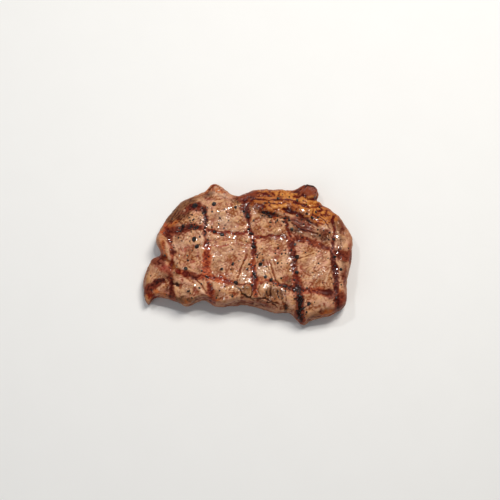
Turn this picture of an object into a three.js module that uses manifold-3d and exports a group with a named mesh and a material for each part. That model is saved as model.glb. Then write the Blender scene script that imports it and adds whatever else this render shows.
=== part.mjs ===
// A grilled beef steak: one thick cut with a fat cap, crossed grill marks and cracked pepper on top.
// It is a single solid. The larger pepper grains stick to the meat, so they are fused to it.
// Millimetres, +Z up. The steak lies on its flat underside, and the origin is under the middle of it.

import * as THREE from "three";
import { mergeVertices } from "three/addons/utils/BufferGeometryUtils.js";
import Module from "manifold-3d";

// Driving dimension: the middle of the cut. The outline below gives 142 by 96 in plan.
const THICKNESS = 20;

// Mesh fineness
const COLUMNS = 60;
const ROWS = 41;
const SAMPLES_PER_SPAN = 24;
const RELAXING_SWEEPS = 400;

// The widest contour seen from above, anticlockwise, as one closed smooth curve in four stretches.
const FRONT_EDGE = [
  [-67.8, -33.9], // tip of the toe
  [-63.1, -29.6],
  [-49.2, -32.5],
  [-41.7, -35.5],
  [-30.2, -31.4],
  [-21.4, -35.6],
  [-2.4, -34.6],
  [18.0, -40.5],
  [27.5, -40.5],
  [37.0, -47.8], // front tip
  [40.8, -45.2],
  [53.9, -42.0],
];
const RIGHT_EDGE = [
  [65.1, -34.9], // front corner
  [65.6, -21.7],
  [69.5, -2.7],
  [70.0, 10.8],
];
const BACK_EDGE = [
  [60.7, 25.8], // right shoulder
  [49.8, 34.4],
  [46.2, 37.0],
  [47.5, 41.4], // charred knob
  [46.2, 47.2],
  [42.4, 48.9],
  [37.6, 47.7],
  [32.2, 44.6],
  [5.1, 43.9],
  [-9.2, 39.7],
  [-23.3, 50.2], // peak of the folded fat corner
  [-30.8, 43.4],
  [-42.4, 38.0],
];
const LEFT_EDGE = [
  [-51.9, 29.2], // left shoulder
  [-62.7, 9.2],
  [-59.3, -0.7], // notch between the cheek and the flap
  [-64.7, -3.7],
  [-70.2, -17.0],
  [-70.9, -25.1],
];

// The wall's profile from the rim of the top to the underside: share of the rim's height, and how
// far inside the widest contour it stands.
const WALL = [
  { height: 1.0, inset: 2.4, lip: 1.0 },
  { height: 0.87, inset: 0.9, lip: 0.85 },
  { height: 0.66, inset: 0.2, lip: 0.45 },
  { height: 0.42, inset: 0.0, lip: 0.0 },
  { height: 0.2, inset: 0.9, lip: 0.0 },
  { height: 0.06, inset: 2.6, lip: 0.0 },
  { height: 0.0, inset: 4.4, lip: 0.0 },
];
const WALL_BULGE = 0.7; // of the meat's layers, in and out along the wall
const NORMAL_REACH = 3; // contour points to each side that share in the way in
// Along the middle of the front, the top plate has drawn back and the wall shows below it.
const LIP = { centre: 9, halfWidth: 17, fade: 3, depth: 2.8 };

// The top falls away beyond each of these lines: a point on it, the way down, and mm down per mm.
const SLOPES = [
  { at: [-40.6, 23.2], toward: [-0.52, 0.85], grade: 0.72 }, // long bevel at the back left
  { at: [-56.3, 6.1], toward: [-1, 0], grade: 0.36 },
  { at: [-39.2, -29.7], toward: [-0.05, -0.99], grade: 0.5 },
  { at: [43.6, 25.2], toward: [0.6, 0.8], grade: 0.55 }, // the fat cap rolls over
  { at: [0.0, 34.9], toward: [0, 1], grade: 0.6 },
  { at: [62.1, -1.9], toward: [1, 0], grade: 0.5 },
  { at: [49.1, -38.2], toward: [0.2, -0.98], grade: 0.35 },
];
const SLOPE_ROUNDING = 2.2;
// The thin flap at the left end lies lower than the rest.
const FLAP = { at: [-53.6, -15.7], toward: [-0.96, -0.28], back: -3, drop: 4.2, fade: 1.9 };

// Rounded lumps: centre, radius and height.
const LUMPS = [
  { at: [41.3, 42.4], radius: 6.6, height: 8.0 }, // charred knob
  { at: [-23.5, 43.5], radius: 5.0, height: 2.2 }, // folded corner
  { at: [-1.0, -25.6], radius: 3.6, height: 1.5 }, // nub
  { at: [-7.3, -26.4], radius: 3.2, height: 0.9 },
  { at: [9.3, -25.9], radius: 4.4, height: 1.1 },
  { at: [18.1, -29.3], radius: 3.4, height: 0.9 },
  { at: [17.9, 31.7], radius: 6.5, height: 1.6 }, // fat bulges
  { at: [39.7, 30.4], radius: 6.0, height: 1.4 },
  { at: [-56.8, -28.4], radius: 3.4, height: 1.8 },
  { at: [-61.8, -27.7], radius: 2.6, height: 1.6 },
  { at: [-33.5, 7.0], radius: 9.0, height: 0.7 },
  { at: [-11.8, -6.0], radius: 10.0, height: 0.8 },
  { at: [45.2, -14.0], radius: 10.0, height: 0.7 },
];

// Seams, cracks and folds: a path, its half width, and how deep it goes, or how high if below zero.
const SEAMS = [
  { path: [[24.5, 28.7], [32.6, 25.2], [39.9, 20.5], [45.9, 16.3]], halfWidth: 2.1, depth: 3.2 },
  { path: [[7.9, 26.9], [17.1, 24.5], [25.9, 22.5]], halfWidth: 1.8, depth: 1.4 },
  { path: [[30.8, 33.6], [36.8, 31.6], [41.2, 29.4]], halfWidth: 1.3, depth: 1.5 },
  { path: [[57.0, 23.8], [57.4, 17.2], [58.6, 11.7]], halfWidth: 1.8, depth: 1.8 },
  { path: [[-3.0, -2.0], [-5.0, -10.1], [-7.6, -19.0]], halfWidth: 0.9, depth: 0.9 },
  { path: [[14.4, -7.4], [17.0, -14.2], [18.9, -21.6]], halfWidth: 0.9, depth: 0.8 },
  { path: [[-60.0, -1.8], [-52.3, -7.3], [-46.9, -13.5]], halfWidth: 2.2, depth: 1.8 },
  { path: [[-28.2, 44.5], [-24.4, 47.9]], halfWidth: 1.2, depth: 1.6 },
  { path: [[-5.7, -29.5], [1.0, -32.1], [11.7, -31.9], [21.6, -35.9]], halfWidth: 1.2, depth: 1.2 },
  { path: [[-51.0, -21.4], [-45.5, -23.6]], halfWidth: 1.8, depth: 1.5 },
  { path: [[23.7, -35.5], [26.0, -38.6]], halfWidth: 1.9, depth: 2.6 },
  { path: [[-42.3, -20.2], [-35.6, -23.6], [-28.3, -30.0]], halfWidth: 1.5, depth: -1.1 },
];

// Grill marks: where each bar pressed, as a start, a middle and an end.
const MARK_DEPTH = 1.0;
const MARK_HALF_WIDTH = 2.3;
const MARKS = [
  [[-54.8, 18.1], [-51.7, 0.7], [-49.7, -30.4]],
  [[-29.3, 33.2], [-28.4, 0.7], [-25.0, -32.2]],
  [[-0.3, 35.0], [3.1, 0.7], [5.0, -30.9]],
  [[24.5, 28.0], [29.8, -2.7], [35.8, -44.1]],
  [[54.8, 20.0], [57.1, -7.4], [60.6, -37.3]],
  [[-61.0, 15.4], [-32.5, 16.3], [9.1, 10.2]],
  [[9.1, 10.2], [34.5, 8.8], [70.3, -0.5]],
  [[-49.6, -12.7], [-12.2, -20.2], [24.2, -24.3]],
  [[24.2, -24.3], [47.5, -27.0], [66.4, -29.9]],
  [[-42.3, 30.2], [-34.8, 30.8], [-27.9, 30.2]],
  [[-69.9, -24.4], [-63.2, -23.4], [-57.2, -21.0]],
];

// Broad waves of the cooked surface: wavelength, direction in degrees, phase and height.
const WAVES = [
  { length: 37, heading: 20, phase: 0.4, height: 0.45 },
  { length: 26, heading: 80, phase: 1.9, height: 0.4 },
  { length: 19, heading: 135, phase: 3.1, height: 0.3 },
  { length: 13, heading: 50, phase: 4.4, height: 0.25 },
  { length: 9.5, heading: 165, phase: 5.2, height: 0.2 },
  { length: 7.5, heading: 105, phase: 0.9, height: 0.16 },
];

// Cracked pepper that shows from a step away: where each grain lies in plan, and its radius.
const LARGE_GRAINS = [
  [-36.1, 31.7, 1.7], [-43.9, 17.1, 1.3], [-36.1, 7.5, 1.6], [-34.4, 2.7, 1.4], [-23.2, 32.2, 1.4],
  [-17.8, 11.2, 1.5], [-22.8, 13.3, 1.4], [-34.2, 16.3, 1.2], [-8.3, -21.6, 1.6], [3.7, 2.7, 1.5],
  [2.0, 12.2, 1.5], [-0.3, 23.9, 1.6], [15.0, -19.5, 1.3], [24.2, -23.6, 1.4], [7.7, -8.8, 1.4],
  [40.2, -35.4, 1.3], [-41.7, -11.5, 1.1], [-27.6, -17.6, 1.3], [-10.3, -8.8, 1.2], [-17.7, -12.2, 1.1],
  [32.4, -4.0, 1.4], [42.7, 22.8, 1.0], [46.7, 22.9, 1.0], [10.4, 26.6, 1.2], [32.6, 23.9, 1.1],
  [13.8, 23.9, 1.2],
];
const MIDDLE_GRAINS = [
  [-24.5, 26.8, 0.7], [-36.7, 21.6, 0.7], [-36.2, 18.3, 0.7], [-45.7, 13.5, 0.8], [-36.5, 14.7, 0.8],
  [-38.0, 16.7, 0.8], [-29.1, 15.6, 0.9], [-29.2, 13.3, 0.8], [-24.7, 16.2, 0.7], [-51.4, 6.5, 0.8],
  [-32.6, 9.5, 0.9], [-35.2, 27.7, 0.7], [-16.1, 28.4, 0.7], [-8.8, 29.9, 1.1], [-3.2, 26.7, 1.0],
  [-19.1, 22.6, 0.8], [-16.6, 15.8, 0.8], [-9.3, 11.9, 0.7], [0.0, 14.9, 1.0], [19.8, 2.1, 0.9],
  [14.5, 19.7, 0.7], [24.5, 22.4, 1.1], [27.3, 21.2, 1.0], [19.6, 24.1, 0.8], [16.5, 25.7, 0.8],
  [13.7, 32.9, 0.7], [11.1, 32.9, 0.7], [20.0, 36.4, 1.0], [27.5, 37.5, 0.8], [32.9, 34.9, 1.0],
  [38.9, 32.1, 0.7], [48.0, 31.1, 0.8], [45.3, 26.7, 1.0], [39.2, 25.2, 0.9], [35.8, 21.3, 0.8],
  [37.1, 18.1, 0.8], [46.4, 14.3, 0.7], [47.9, 10.7, 0.8], [54.4, 12.8, 0.8], [57.1, 8.3, 1.0],
  [53.7, 7.8, 0.7], [29.1, 14.8, 1.1], [31.1, 4.6, 1.0], [-56.0, -2.4, 0.8], [-40.3, -6.3, 0.9],
  [-31.0, -13.6, 0.8], [-31.3, -22.1, 0.7], [-39.9, -26.9, 1.0], [-37.6, -31.4, 0.8],
  [-32.7, -25.0, 0.9], [-2.5, -6.3, 0.7], [0.4, -8.8, 0.8], [-0.7, -12.2, 0.8], [3.4, -14.9, 1.1],
  [4.6, -17.5, 0.9], [9.8, -6.3, 0.8], [11.9, -10.3, 0.7], [11.3, -17.5, 1.1], [17.7, -19.5, 0.7],
  [21.8, -18.3, 0.9], [19.4, -8.2, 0.9], [22.3, -1.9, 0.8], [17.9, -1.7, 0.8], [20.7, -23.4, 0.9],
  [24.5, -27.1, 0.9], [18.3, -22.0, 0.7], [-10.8, -30.5, 0.8], [19.9, -30.9, 0.7], [2.3, -22.9, 0.9],
  [46.7, -8.6, 0.7], [61.6, -12.5, 1.0], [61.6, -22.6, 0.7], [57.9, -10.0, 0.8], [57.7, -4.0, 1.0],
  [32.2, -14.1, 1.1], [38.8, -25.0, 0.8], [38.6, -40.5, 0.9], [58.0, -31.6, 0.9], [34.1, -30.4, 1.0],
  [34.9, -34.9, 1.1], [35.5, -38.4, 0.9], [5.7, -4.4, 0.8], [3.2, 7.2, 0.9], [28.8, 0.8, 0.8],
  [30.4, -19.4, 0.8], [-27.2, 7.6, 0.7],
];
const GRAIN_SINK = 0.15; // share of its radius that a grain's centre stands above the meat
const GRAIN_SQUASH = 0.75;
const GOLDEN = [0.754877666, 0.569840291, 0.618033989, 0.414213562]; // steps that turn each grain its own way

const MEAT = { color: 0x9c6548, roughness: 0.45, metalness: 0 };

const share = (i, k) => (0.5 + (i + 1) * GOLDEN[k]) % 1;

function distanceToPath(x, y, path) {
  let nearest = Infinity;
  for (let i = 0; i + 1 < path.length; i++) {
    const [ax, ay] = path[i];
    const dx = path[i + 1][0] - ax;
    const dy = path[i + 1][1] - ay;
    const t = THREE.MathUtils.clamp(((x - ax) * dx + (y - ay) * dy) / (dx * dx + dy * dy), 0, 1);
    nearest = Math.min(nearest, Math.hypot(x - ax - t * dx, y - ay - t * dy));
  }
  return nearest;
}

const bell = (distance, halfWidth) => Math.exp(-((distance / halfWidth) ** 2));
const step = (distance, fade) => 1 / (1 + Math.exp(-distance / fade));
const along = (x, y, line) => (x - line.at[0]) * line.toward[0] + (y - line.at[1]) * line.toward[1];

// Height of the top surface over a point of the plan.
function topHeight(x, y) {
  let z = THICKNESS;
  for (const slope of SLOPES)
    z -= slope.grade * SLOPE_ROUNDING * Math.log1p(Math.exp(along(x, y, slope) / SLOPE_ROUNDING));
  z -= FLAP.drop * step(along(x, y, FLAP), FLAP.fade) * step(FLAP.back - y, FLAP.fade);
  for (const lump of LUMPS)
    z += lump.height * bell(Math.hypot(x - lump.at[0], y - lump.at[1]), lump.radius);
  for (const seam of SEAMS) z -= seam.depth * bell(distanceToPath(x, y, seam.path), seam.halfWidth);
  const mark = Math.min(...MARKS.map((path) => distanceToPath(x, y, path)));
  z -= MARK_DEPTH * bell(mark, MARK_HALF_WIDTH);
  for (const wave of WAVES) {
    const heading = THREE.MathUtils.degToRad(wave.heading);
    const way = (x * Math.cos(heading) + y * Math.sin(heading)) / wave.length;
    z += wave.height * Math.sin(2 * Math.PI * way + wave.phase);
  }
  return z;
}

// The four edges of the outline, each as evenly spaced points, anticlockwise from the toe.
function outlineEdges() {
  const stretches = [FRONT_EDGE, RIGHT_EDGE, BACK_EDGE, LEFT_EDGE];
  const counts = [COLUMNS, ROWS, COLUMNS, ROWS];
  const points = stretches.flat().map(([x, y]) => new THREE.Vector3(x, y, 0));
  const outline = new THREE.CatmullRomCurve3(points, true, "centripetal");
  let first = 0;
  return stretches.map((stretch, e) => {
    const spans = stretch.length * SAMPLES_PER_SPAN;
    const samples = [];
    for (let i = 0; i <= spans; i++) {
      const p = outline.getPoint((first + (i / spans) * stretch.length) / points.length);
      samples.push(new THREE.Vector2(p.x, p.y));
    }
    first += stretch.length;
    const curve = new THREE.SplineCurve(samples);
    curve.arcLengthDivisions = samples.length * 2;
    return curve.getSpacedPoints(counts[e]).slice(0, counts[e]);
  });
}

const contour = outlineEdges().flat();
const around = (k) => (k + contour.length) % contour.length;

// The way in from each contour point: its normal, averaged with those of its neighbours so that
// the rings stay clear of each other in tips and notches.
const wayIn = contour.map((_, k) => {
  const sum = new THREE.Vector2();
  let weights = 0;
  for (let n = -NORMAL_REACH; n <= NORMAL_REACH; n++) {
    const chord = contour[around(k + n + 1)].clone().sub(contour[around(k + n - 1)]);
    const weight = Math.cos((Math.PI * n) / (2 * NORMAL_REACH + 2));
    sum.add(new THREE.Vector2(-chord.y, chord.x).normalize().multiplyScalar(weight));
    weights += weight;
  }
  return sum.divideScalar(weights);
});

// A contour point drawn in as the ring of the wall at this level asks.
function ringPoint(k, ring, bulge = 0) {
  const lipHere = step(LIP.halfWidth - Math.abs(contour[k].x - LIP.centre), LIP.fade);
  const lip = k < COLUMNS ? ring.lip * LIP.depth * lipHere : 0;
  return contour[k].clone().addScaledVector(wayIn[k], ring.inset + lip - bulge);
}

// The grid's rim as [column, row] pairs, anticlockwise from the toe.
function rimSteps() {
  const rim = [];
  for (let i = 0; i < COLUMNS; i++) rim.push([i, 0]);
  for (let j = 0; j < ROWS; j++) rim.push([COLUMNS, j]);
  for (let i = COLUMNS; i > 0; i--) rim.push([i, ROWS]);
  for (let j = ROWS; j > 0; j--) rim.push([0, j]);
  return rim;
}

const rim = rimSteps();
const gridIndex = (i, j) => j * (COLUMNS + 1) + i;

// The plan of the top: the rim held still and every point inside relaxed, by Winslow's rule, which
// spaces the grid lines smoothly and never folds them over one another.
function topPlan() {
  const plan = [];
  rim.forEach(([i, j], k) => {
    plan[gridIndex(i, j)] = ringPoint(k, WALL[0]);
  });
  for (let j = 1; j < ROWS; j++)
    for (let i = 1; i < COLUMNS; i++) {
      const across = plan[gridIndex(0, j)].clone().lerp(plan[gridIndex(COLUMNS, j)], i / COLUMNS);
      const along = plan[gridIndex(i, 0)].clone().lerp(plan[gridIndex(i, ROWS)], j / ROWS);
      plan[gridIndex(i, j)] = across.lerp(along, 0.5);
    }
  for (let sweep = 0; sweep < RELAXING_SWEEPS; sweep++)
    for (let j = 1; j < ROWS; j++)
      for (let i = 1; i < COLUMNS; i++) relax(plan, i, j);
  return plan;
}

function relax(plan, i, j) {
  const at = (di, dj) => plan[gridIndex(i + di, j + dj)];
  const acrossStep = at(1, 0).clone().sub(at(-1, 0));
  const alongStep = at(0, 1).clone().sub(at(0, -1));
  const acrossWeight = alongStep.lengthSq();
  const alongWeight = acrossStep.lengthSq();
  const skew = acrossStep.dot(alongStep) / 2;
  const next = new THREE.Vector2()
    .addScaledVector(at(-1, 0), acrossWeight)
    .addScaledVector(at(1, 0), acrossWeight)
    .addScaledVector(at(0, -1), alongWeight)
    .addScaledVector(at(0, 1), alongWeight)
    .addScaledVector(at(1, 1), -skew)
    .addScaledVector(at(-1, -1), -skew)
    .addScaledVector(at(1, -1), skew)
    .addScaledVector(at(-1, 1), skew)
    .divideScalar(2 * (acrossWeight + alongWeight));
  at(0, 0).copy(next);
}

const plan = topPlan();

// The meat: a grid over the top, rings down the wall and a flat underside.
function meatGeometry() {
  const positions = plan.flatMap((p) => [p.x, p.y, topHeight(p.x, p.y)]);
  const faces = [];
  for (let j = 0; j < ROWS; j++)
    for (let i = 0; i < COLUMNS; i++) {
      const corners = [gridIndex(i, j), gridIndex(i + 1, j), gridIndex(i + 1, j + 1), gridIndex(i, j + 1)];
      faces.push(corners[0], corners[1], corners[2], corners[0], corners[2], corners[3]);
    }

  let above = rim.map(([i, j]) => gridIndex(i, j));
  const rimHeights = above.map((index) => positions[3 * index + 2]);
  for (const ring of WALL.slice(1)) {
    const here = rim.map((_, k) => {
      const turn = (2 * Math.PI * k) / rim.length;
      const layers = Math.sin(7 * turn + 8 * ring.height) + 0.6 * Math.sin(13 * turn - 11 * ring.height);
      const p = ringPoint(k, ring, WALL_BULGE * layers * ring.height * (1 - ring.height) * 2);
      positions.push(p.x, p.y, ring.height * rimHeights[k]);
      return positions.length / 3 - 1;
    });
    rim.forEach((_, k) => {
      const next = (k + 1) % rim.length;
      faces.push(here[k], here[next], above[next], here[k], above[next], above[k]);
    });
    above = here;
  }
  const foot = above.map((index) => new THREE.Vector2(positions[3 * index], positions[3 * index + 1]));
  for (const [a, b, c] of THREE.ShapeUtils.triangulateShape(foot, []))
    faces.push(above[a], above[c], above[b]);

  const geometry = new THREE.BufferGeometry();
  geometry.setAttribute("position", new THREE.Float32BufferAttribute(positions, 3));
  geometry.setIndex(faces);
  return geometry;
}

// Where a grain dropped on the meat at this point comes to lie.
function landing(meat, x, y) {
  const drop = new THREE.Raycaster(new THREE.Vector3(x, y, 2 * THICKNESS), new THREE.Vector3(0, 0, -1));
  return drop.intersectObject(meat)[0].point;
}

// One cracked grain: a squashed, turned icosahedron, half bedded in the top.
function grainGeometry(place, radius, i) {
  const grain = new THREE.IcosahedronGeometry(radius, 0);
  grain.scale(1, 0.7 + 0.3 * share(i, 2), GRAIN_SQUASH);
  grain.rotateX(0.5 * share(i, 0));
  grain.rotateZ(2 * Math.PI * share(i, 3));
  grain.translate(place.x, place.y, place.z + GRAIN_SINK * radius);
  return grain;
}

const wasm = await Module();
wasm.setup();

function toSolid(geometry) {
  const bare = geometry.clone();
  bare.deleteAttribute("normal");
  bare.deleteAttribute("uv");
  const merged = mergeVertices(bare, 1e-4);
  return new wasm.Manifold(
    new wasm.Mesh({
      numProp: 3,
      vertProperties: merged.attributes.position.array,
      triVerts: new Uint32Array(merged.index.array),
    }),
  );
}

function toGeometry(solid) {
  const mesh = solid.getMesh();
  const geometry = new THREE.BufferGeometry();
  geometry.setAttribute("position", new THREE.BufferAttribute(mesh.vertProperties, 3));
  geometry.setIndex(new THREE.BufferAttribute(mesh.triVerts, 1));
  return geometry;
}

function steakGeometry() {
  const meat = meatGeometry();
  const surface = new THREE.Mesh(meat);
  let solid = toSolid(meat);
  [...LARGE_GRAINS, ...MIDDLE_GRAINS].forEach(([x, y, radius], i) => {
    solid = solid.add(toSolid(grainGeometry(landing(surface, x, y), radius, i)));
  });
  const geometry = toGeometry(solid);
  geometry.computeBoundingBox();
  const middle = geometry.boundingBox.getCenter(new THREE.Vector3());
  geometry.translate(-middle.x, -middle.y, -geometry.boundingBox.min.z);
  return geometry;
}

const steak = new THREE.Mesh(steakGeometry(), new THREE.MeshStandardMaterial({ ...MEAT, flatShading: true }));
steak.name = "steak";

const group = new THREE.Group();
group.add(steak);
export default group;
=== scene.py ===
# A grilled beef steak: browned meat with crossed grill marks, a golden fat cap and cracked pepper.
# Shapes are worked out in millimetres in the plan that the steak's outline was drawn in.

import itertools
import math

import bmesh
import bpy
import numpy as np
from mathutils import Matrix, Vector


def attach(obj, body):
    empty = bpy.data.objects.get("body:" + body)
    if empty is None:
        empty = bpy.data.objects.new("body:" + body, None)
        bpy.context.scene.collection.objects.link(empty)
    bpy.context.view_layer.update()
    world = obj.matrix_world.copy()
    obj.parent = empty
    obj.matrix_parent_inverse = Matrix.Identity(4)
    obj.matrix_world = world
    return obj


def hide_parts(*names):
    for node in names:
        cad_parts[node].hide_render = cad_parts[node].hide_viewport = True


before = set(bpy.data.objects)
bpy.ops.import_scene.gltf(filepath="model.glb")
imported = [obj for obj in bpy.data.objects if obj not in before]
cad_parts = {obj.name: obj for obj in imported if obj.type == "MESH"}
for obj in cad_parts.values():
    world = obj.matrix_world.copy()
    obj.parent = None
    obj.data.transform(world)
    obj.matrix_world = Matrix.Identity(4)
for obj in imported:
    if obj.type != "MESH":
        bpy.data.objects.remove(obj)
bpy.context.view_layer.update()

MM = 0.001
# Where the middle of the steak's box lies in the plan of the outline.
PLAN_MIDDLE = np.array([-0.452, 0.821])

# ---------------------------------------------------------------------------
# Form of the steak
# ---------------------------------------------------------------------------

THICKNESS = 20.0
TOP_COLUMNS = 272
TOP_ROWS = 184
WALL_RINGS = 32
CAD_SPACING = 2.35  # between the outline points that share in one way in
NORMAL_REACH = 3
OUTLINE_SAMPLES = 48

FRONT_EDGE = [
    (-67.8, -33.9), (-63.1, -29.6), (-49.2, -32.5), (-41.7, -35.5), (-30.2, -31.4), (-21.4, -35.6),
    (-2.4, -34.6), (18.0, -40.5), (27.5, -40.5), (37.0, -47.8), (40.8, -45.2), (53.9, -42.0),
]
RIGHT_EDGE = [(65.1, -34.9), (65.6, -21.7), (69.5, -2.7), (70.0, 10.8)]
BACK_EDGE = [
    (60.7, 25.8), (49.8, 34.4), (46.2, 37.0), (47.5, 41.4), (46.2, 47.2), (42.4, 48.9),
    (37.6, 47.7), (32.2, 44.6),
    (5.1, 43.9), (-9.2, 39.7), (-23.3, 50.2), (-30.8, 43.4), (-42.4, 38.0),
]
LEFT_EDGE = [
    (-51.9, 29.2), (-62.7, 9.2), (-59.3, -0.7), (-64.7, -3.7), (-70.2, -17.0), (-70.9, -25.1),
]

# Wall levels: share of the rim's height, inset from the widest contour, share of the front lip.
WALL = np.array([
    (1.0, 2.4, 1.0),
    (0.87, 0.9, 0.85),
    (0.66, 0.2, 0.45),
    (0.42, 0.0, 0.0),
    (0.2, 0.9, 0.0),
    (0.06, 2.6, 0.0),
    (0.0, 4.4, 0.0),
])
LIP_CENTRE, LIP_HALF_WIDTH, LIP_FADE, LIP_DEPTH = 9.0, 17.0, 3.0, 2.8

# The top falls away beyond each line: a point, the way down, mm down per mm.
SLOPES = [
    ((-40.6, 23.2), (-0.52, 0.85), 0.72),
    ((-56.3, 6.1), (-1, 0), 0.36),
    ((-39.2, -29.7), (-0.05, -0.99), 0.5),
    ((43.6, 25.2), (0.6, 0.8), 0.55),
    ((0.0, 34.9), (0, 1), 0.6),
    ((62.1, -1.9), (1, 0), 0.5),
    ((49.1, -38.2), (0.2, -0.98), 0.35),
]
SLOPE_ROUNDING = 2.2
KNOB_AT, KNOB_RADIUS = (41.0, 43.4), 7.0
FLAP_AT, FLAP_TOWARD, FLAP_BACK, FLAP_DROP, FLAP_FADE = (-53.6, -15.7), (-0.96, -0.28), -3, 4.2, 1.9

# Rounded lumps: centre, radius, height.
LUMPS = [
    ((41.3, 42.4), 6.6, 8.0),
    ((-23.5, 43.5), 5.0, 2.2),
    ((-1.0, -25.6), 3.6, 1.5),
    ((-7.3, -26.4), 3.2, 0.9),
    ((9.3, -25.9), 4.4, 1.1),
    ((18.1, -29.3), 3.4, 0.9),
    ((17.9, 31.7), 6.5, 1.6),
    ((39.7, 30.4), 6.0, 1.4),
    ((-56.8, -28.4), 3.4, 1.8),
    ((-61.8, -27.7), 2.6, 1.6),
    ((-33.5, 7.0), 9.0, 0.7),
    ((-11.8, -6.0), 10.0, 0.8),
    ((45.2, -14.0), 10.0, 0.7),
]

# Seams, cracks and folds: path, half width, depth (below zero stands up), darkness, which paints
# shade into the groove along with its own dark brown.
SEAMS = [
    ([(24.5, 28.7), (32.6, 25.2), (39.9, 20.5), (45.9, 16.3)], 1.5, 1.5, 0.55),
    ([(7.9, 26.9), (17.1, 24.5), (25.9, 22.5)], 1.4, 1.2, 0.25),
    ([(30.8, 33.6), (36.8, 31.6), (41.2, 29.4)], 1.1, 1.2, 0.35),
    ([(57.0, 23.8), (57.4, 17.2), (58.6, 11.7)], 0.9, 0.9, 0.3),
    ([(-1.2, -2.6), (-3.0, -7.2), (-5.1, -11.4), (-7.4, -18.0)], 0.6, 0.9, 0.6),
    ([(14.6, -8.6), (16.8, -15.6), (18.0, -19.2), (21.0, -22.8)], 0.55, 0.8, 0.6),
    ([(-60.0, -1.8), (-52.3, -7.3), (-46.9, -13.5)], 1.8, 1.8, 0.3),
    ([(-28.2, 44.5), (-24.4, 47.9)], 0.9, 1.6, 0.8),
    ([(-4.6, -29.6), (1.0, -31.9), (11.7, -31.9), (16.4, -34.4), (21.6, -35.9)], 0.8, 1.2, 0.9),
    ([(-51.0, -21.4), (-45.5, -23.6)], 1.5, 1.5, 0.8),
    ([(23.7, -35.5), (26.0, -38.6)], 1.9, 2.6, 0.9),
    ([(-42.3, -20.2), (-35.6, -23.6), (-28.3, -30.0)], 1.5, -1.1, 0.0),
]
# Fine cracks that only the finished surface shows: path, half width, depth, darkness, which paints
# shade into the crack along with its own dark brown.
FINE_CRACKS = [
    (
        [(-3.9, -26.5), (-3.7, -23.4), (-1.1, -21.5), (2.0, -22.3),
         (3.1, -25.0), (2.4, -29.0), (1.0, -31.6)],
        0.5, 1.1, 0.75,
    ),
    ([(-8.6, -23.8), (-5.6, -26.2), (-4.2, -29.0), (-1.6, -30.4), (1.0, -31.8)], 0.5, 1.0, 0.95),
    ([(-4.4, -22.6), (-7.8, -22.4), (-12.7, -26.2)], 0.45, 0.6, 0.6),
    ([(15.0, -23.0), (14.5, -27.1), (15.2, -31.4)], 0.45, 0.9, 0.8),
    ([(19.0, -26.6), (19.2, -29.4), (20.4, -32.6)], 0.4, 0.8, 0.75),
    ([(24.4, -25.0), (24.3, -29.6), (25.2, -33.4)], 0.4, 0.7, 0.7),
    ([(12.1, -6.3), (13.2, -11.4), (14.9, -15.6), (15.4, -18.7)], 0.38, 0.5, 0.55),
    ([(9.8, -12.0), (11.2, -16.6)], 0.35, 0.3, 0.3),
    ([(-7.8, -14.6), (-9.8, -18.6)], 0.35, 0.3, 0.3),
    ([(-35.3, -19.0), (-30.4, -23.9), (-27.9, -28.3)], 0.45, 0.7, 0.6),
    ([(28.0, -9.4), (32.5, -5.6), (37.4, -3.9), (43.5, -1.6)], 0.4, 0.5, 0.55),
    ([(28.7, 19.1), (33.6, 15.5), (39.5, 13.5), (46.4, 11.5)], 0.5, 0.7, 0.4),
    ([(47.6, 23.9), (52.0, 20.2), (54.9, 15.1)], 0.5, 0.8, 0.4),
    ([(-24.7, 44.4), (-20.6, 40.7), (-15.9, 37.2)], 0.45, 0.6, 0.3),
    ([(3.0, 36.2), (13.9, 34.9), (25.9, 35.9), (32.9, 34.6)], 0.6, 0.5, 0.12),
    ([(36.6, 39.4), (40.5, 36.0), (44.7, 36.2), (47.4, 38.6)], 0.9, 1.1, 0.3),
    ([(12.0, -34.4), (15.6, -35.0), (19.0, -37.4)], 0.45, 0.7, 0.7),
    ([(7.0, -24.0), (6.2, -27.4), (8.0, -30.4)], 0.45, 0.6, 0.4),
    ([(35.4, -12.2), (38.0, -15.4), (42.6, -17.4), (47.0, -15.0)], 0.35, 0.35, 0.3),
    ([(45.4, -8.6), (43.4, -13.0), (46.6, -15.6)], 0.35, 0.35, 0.3),
]

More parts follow.
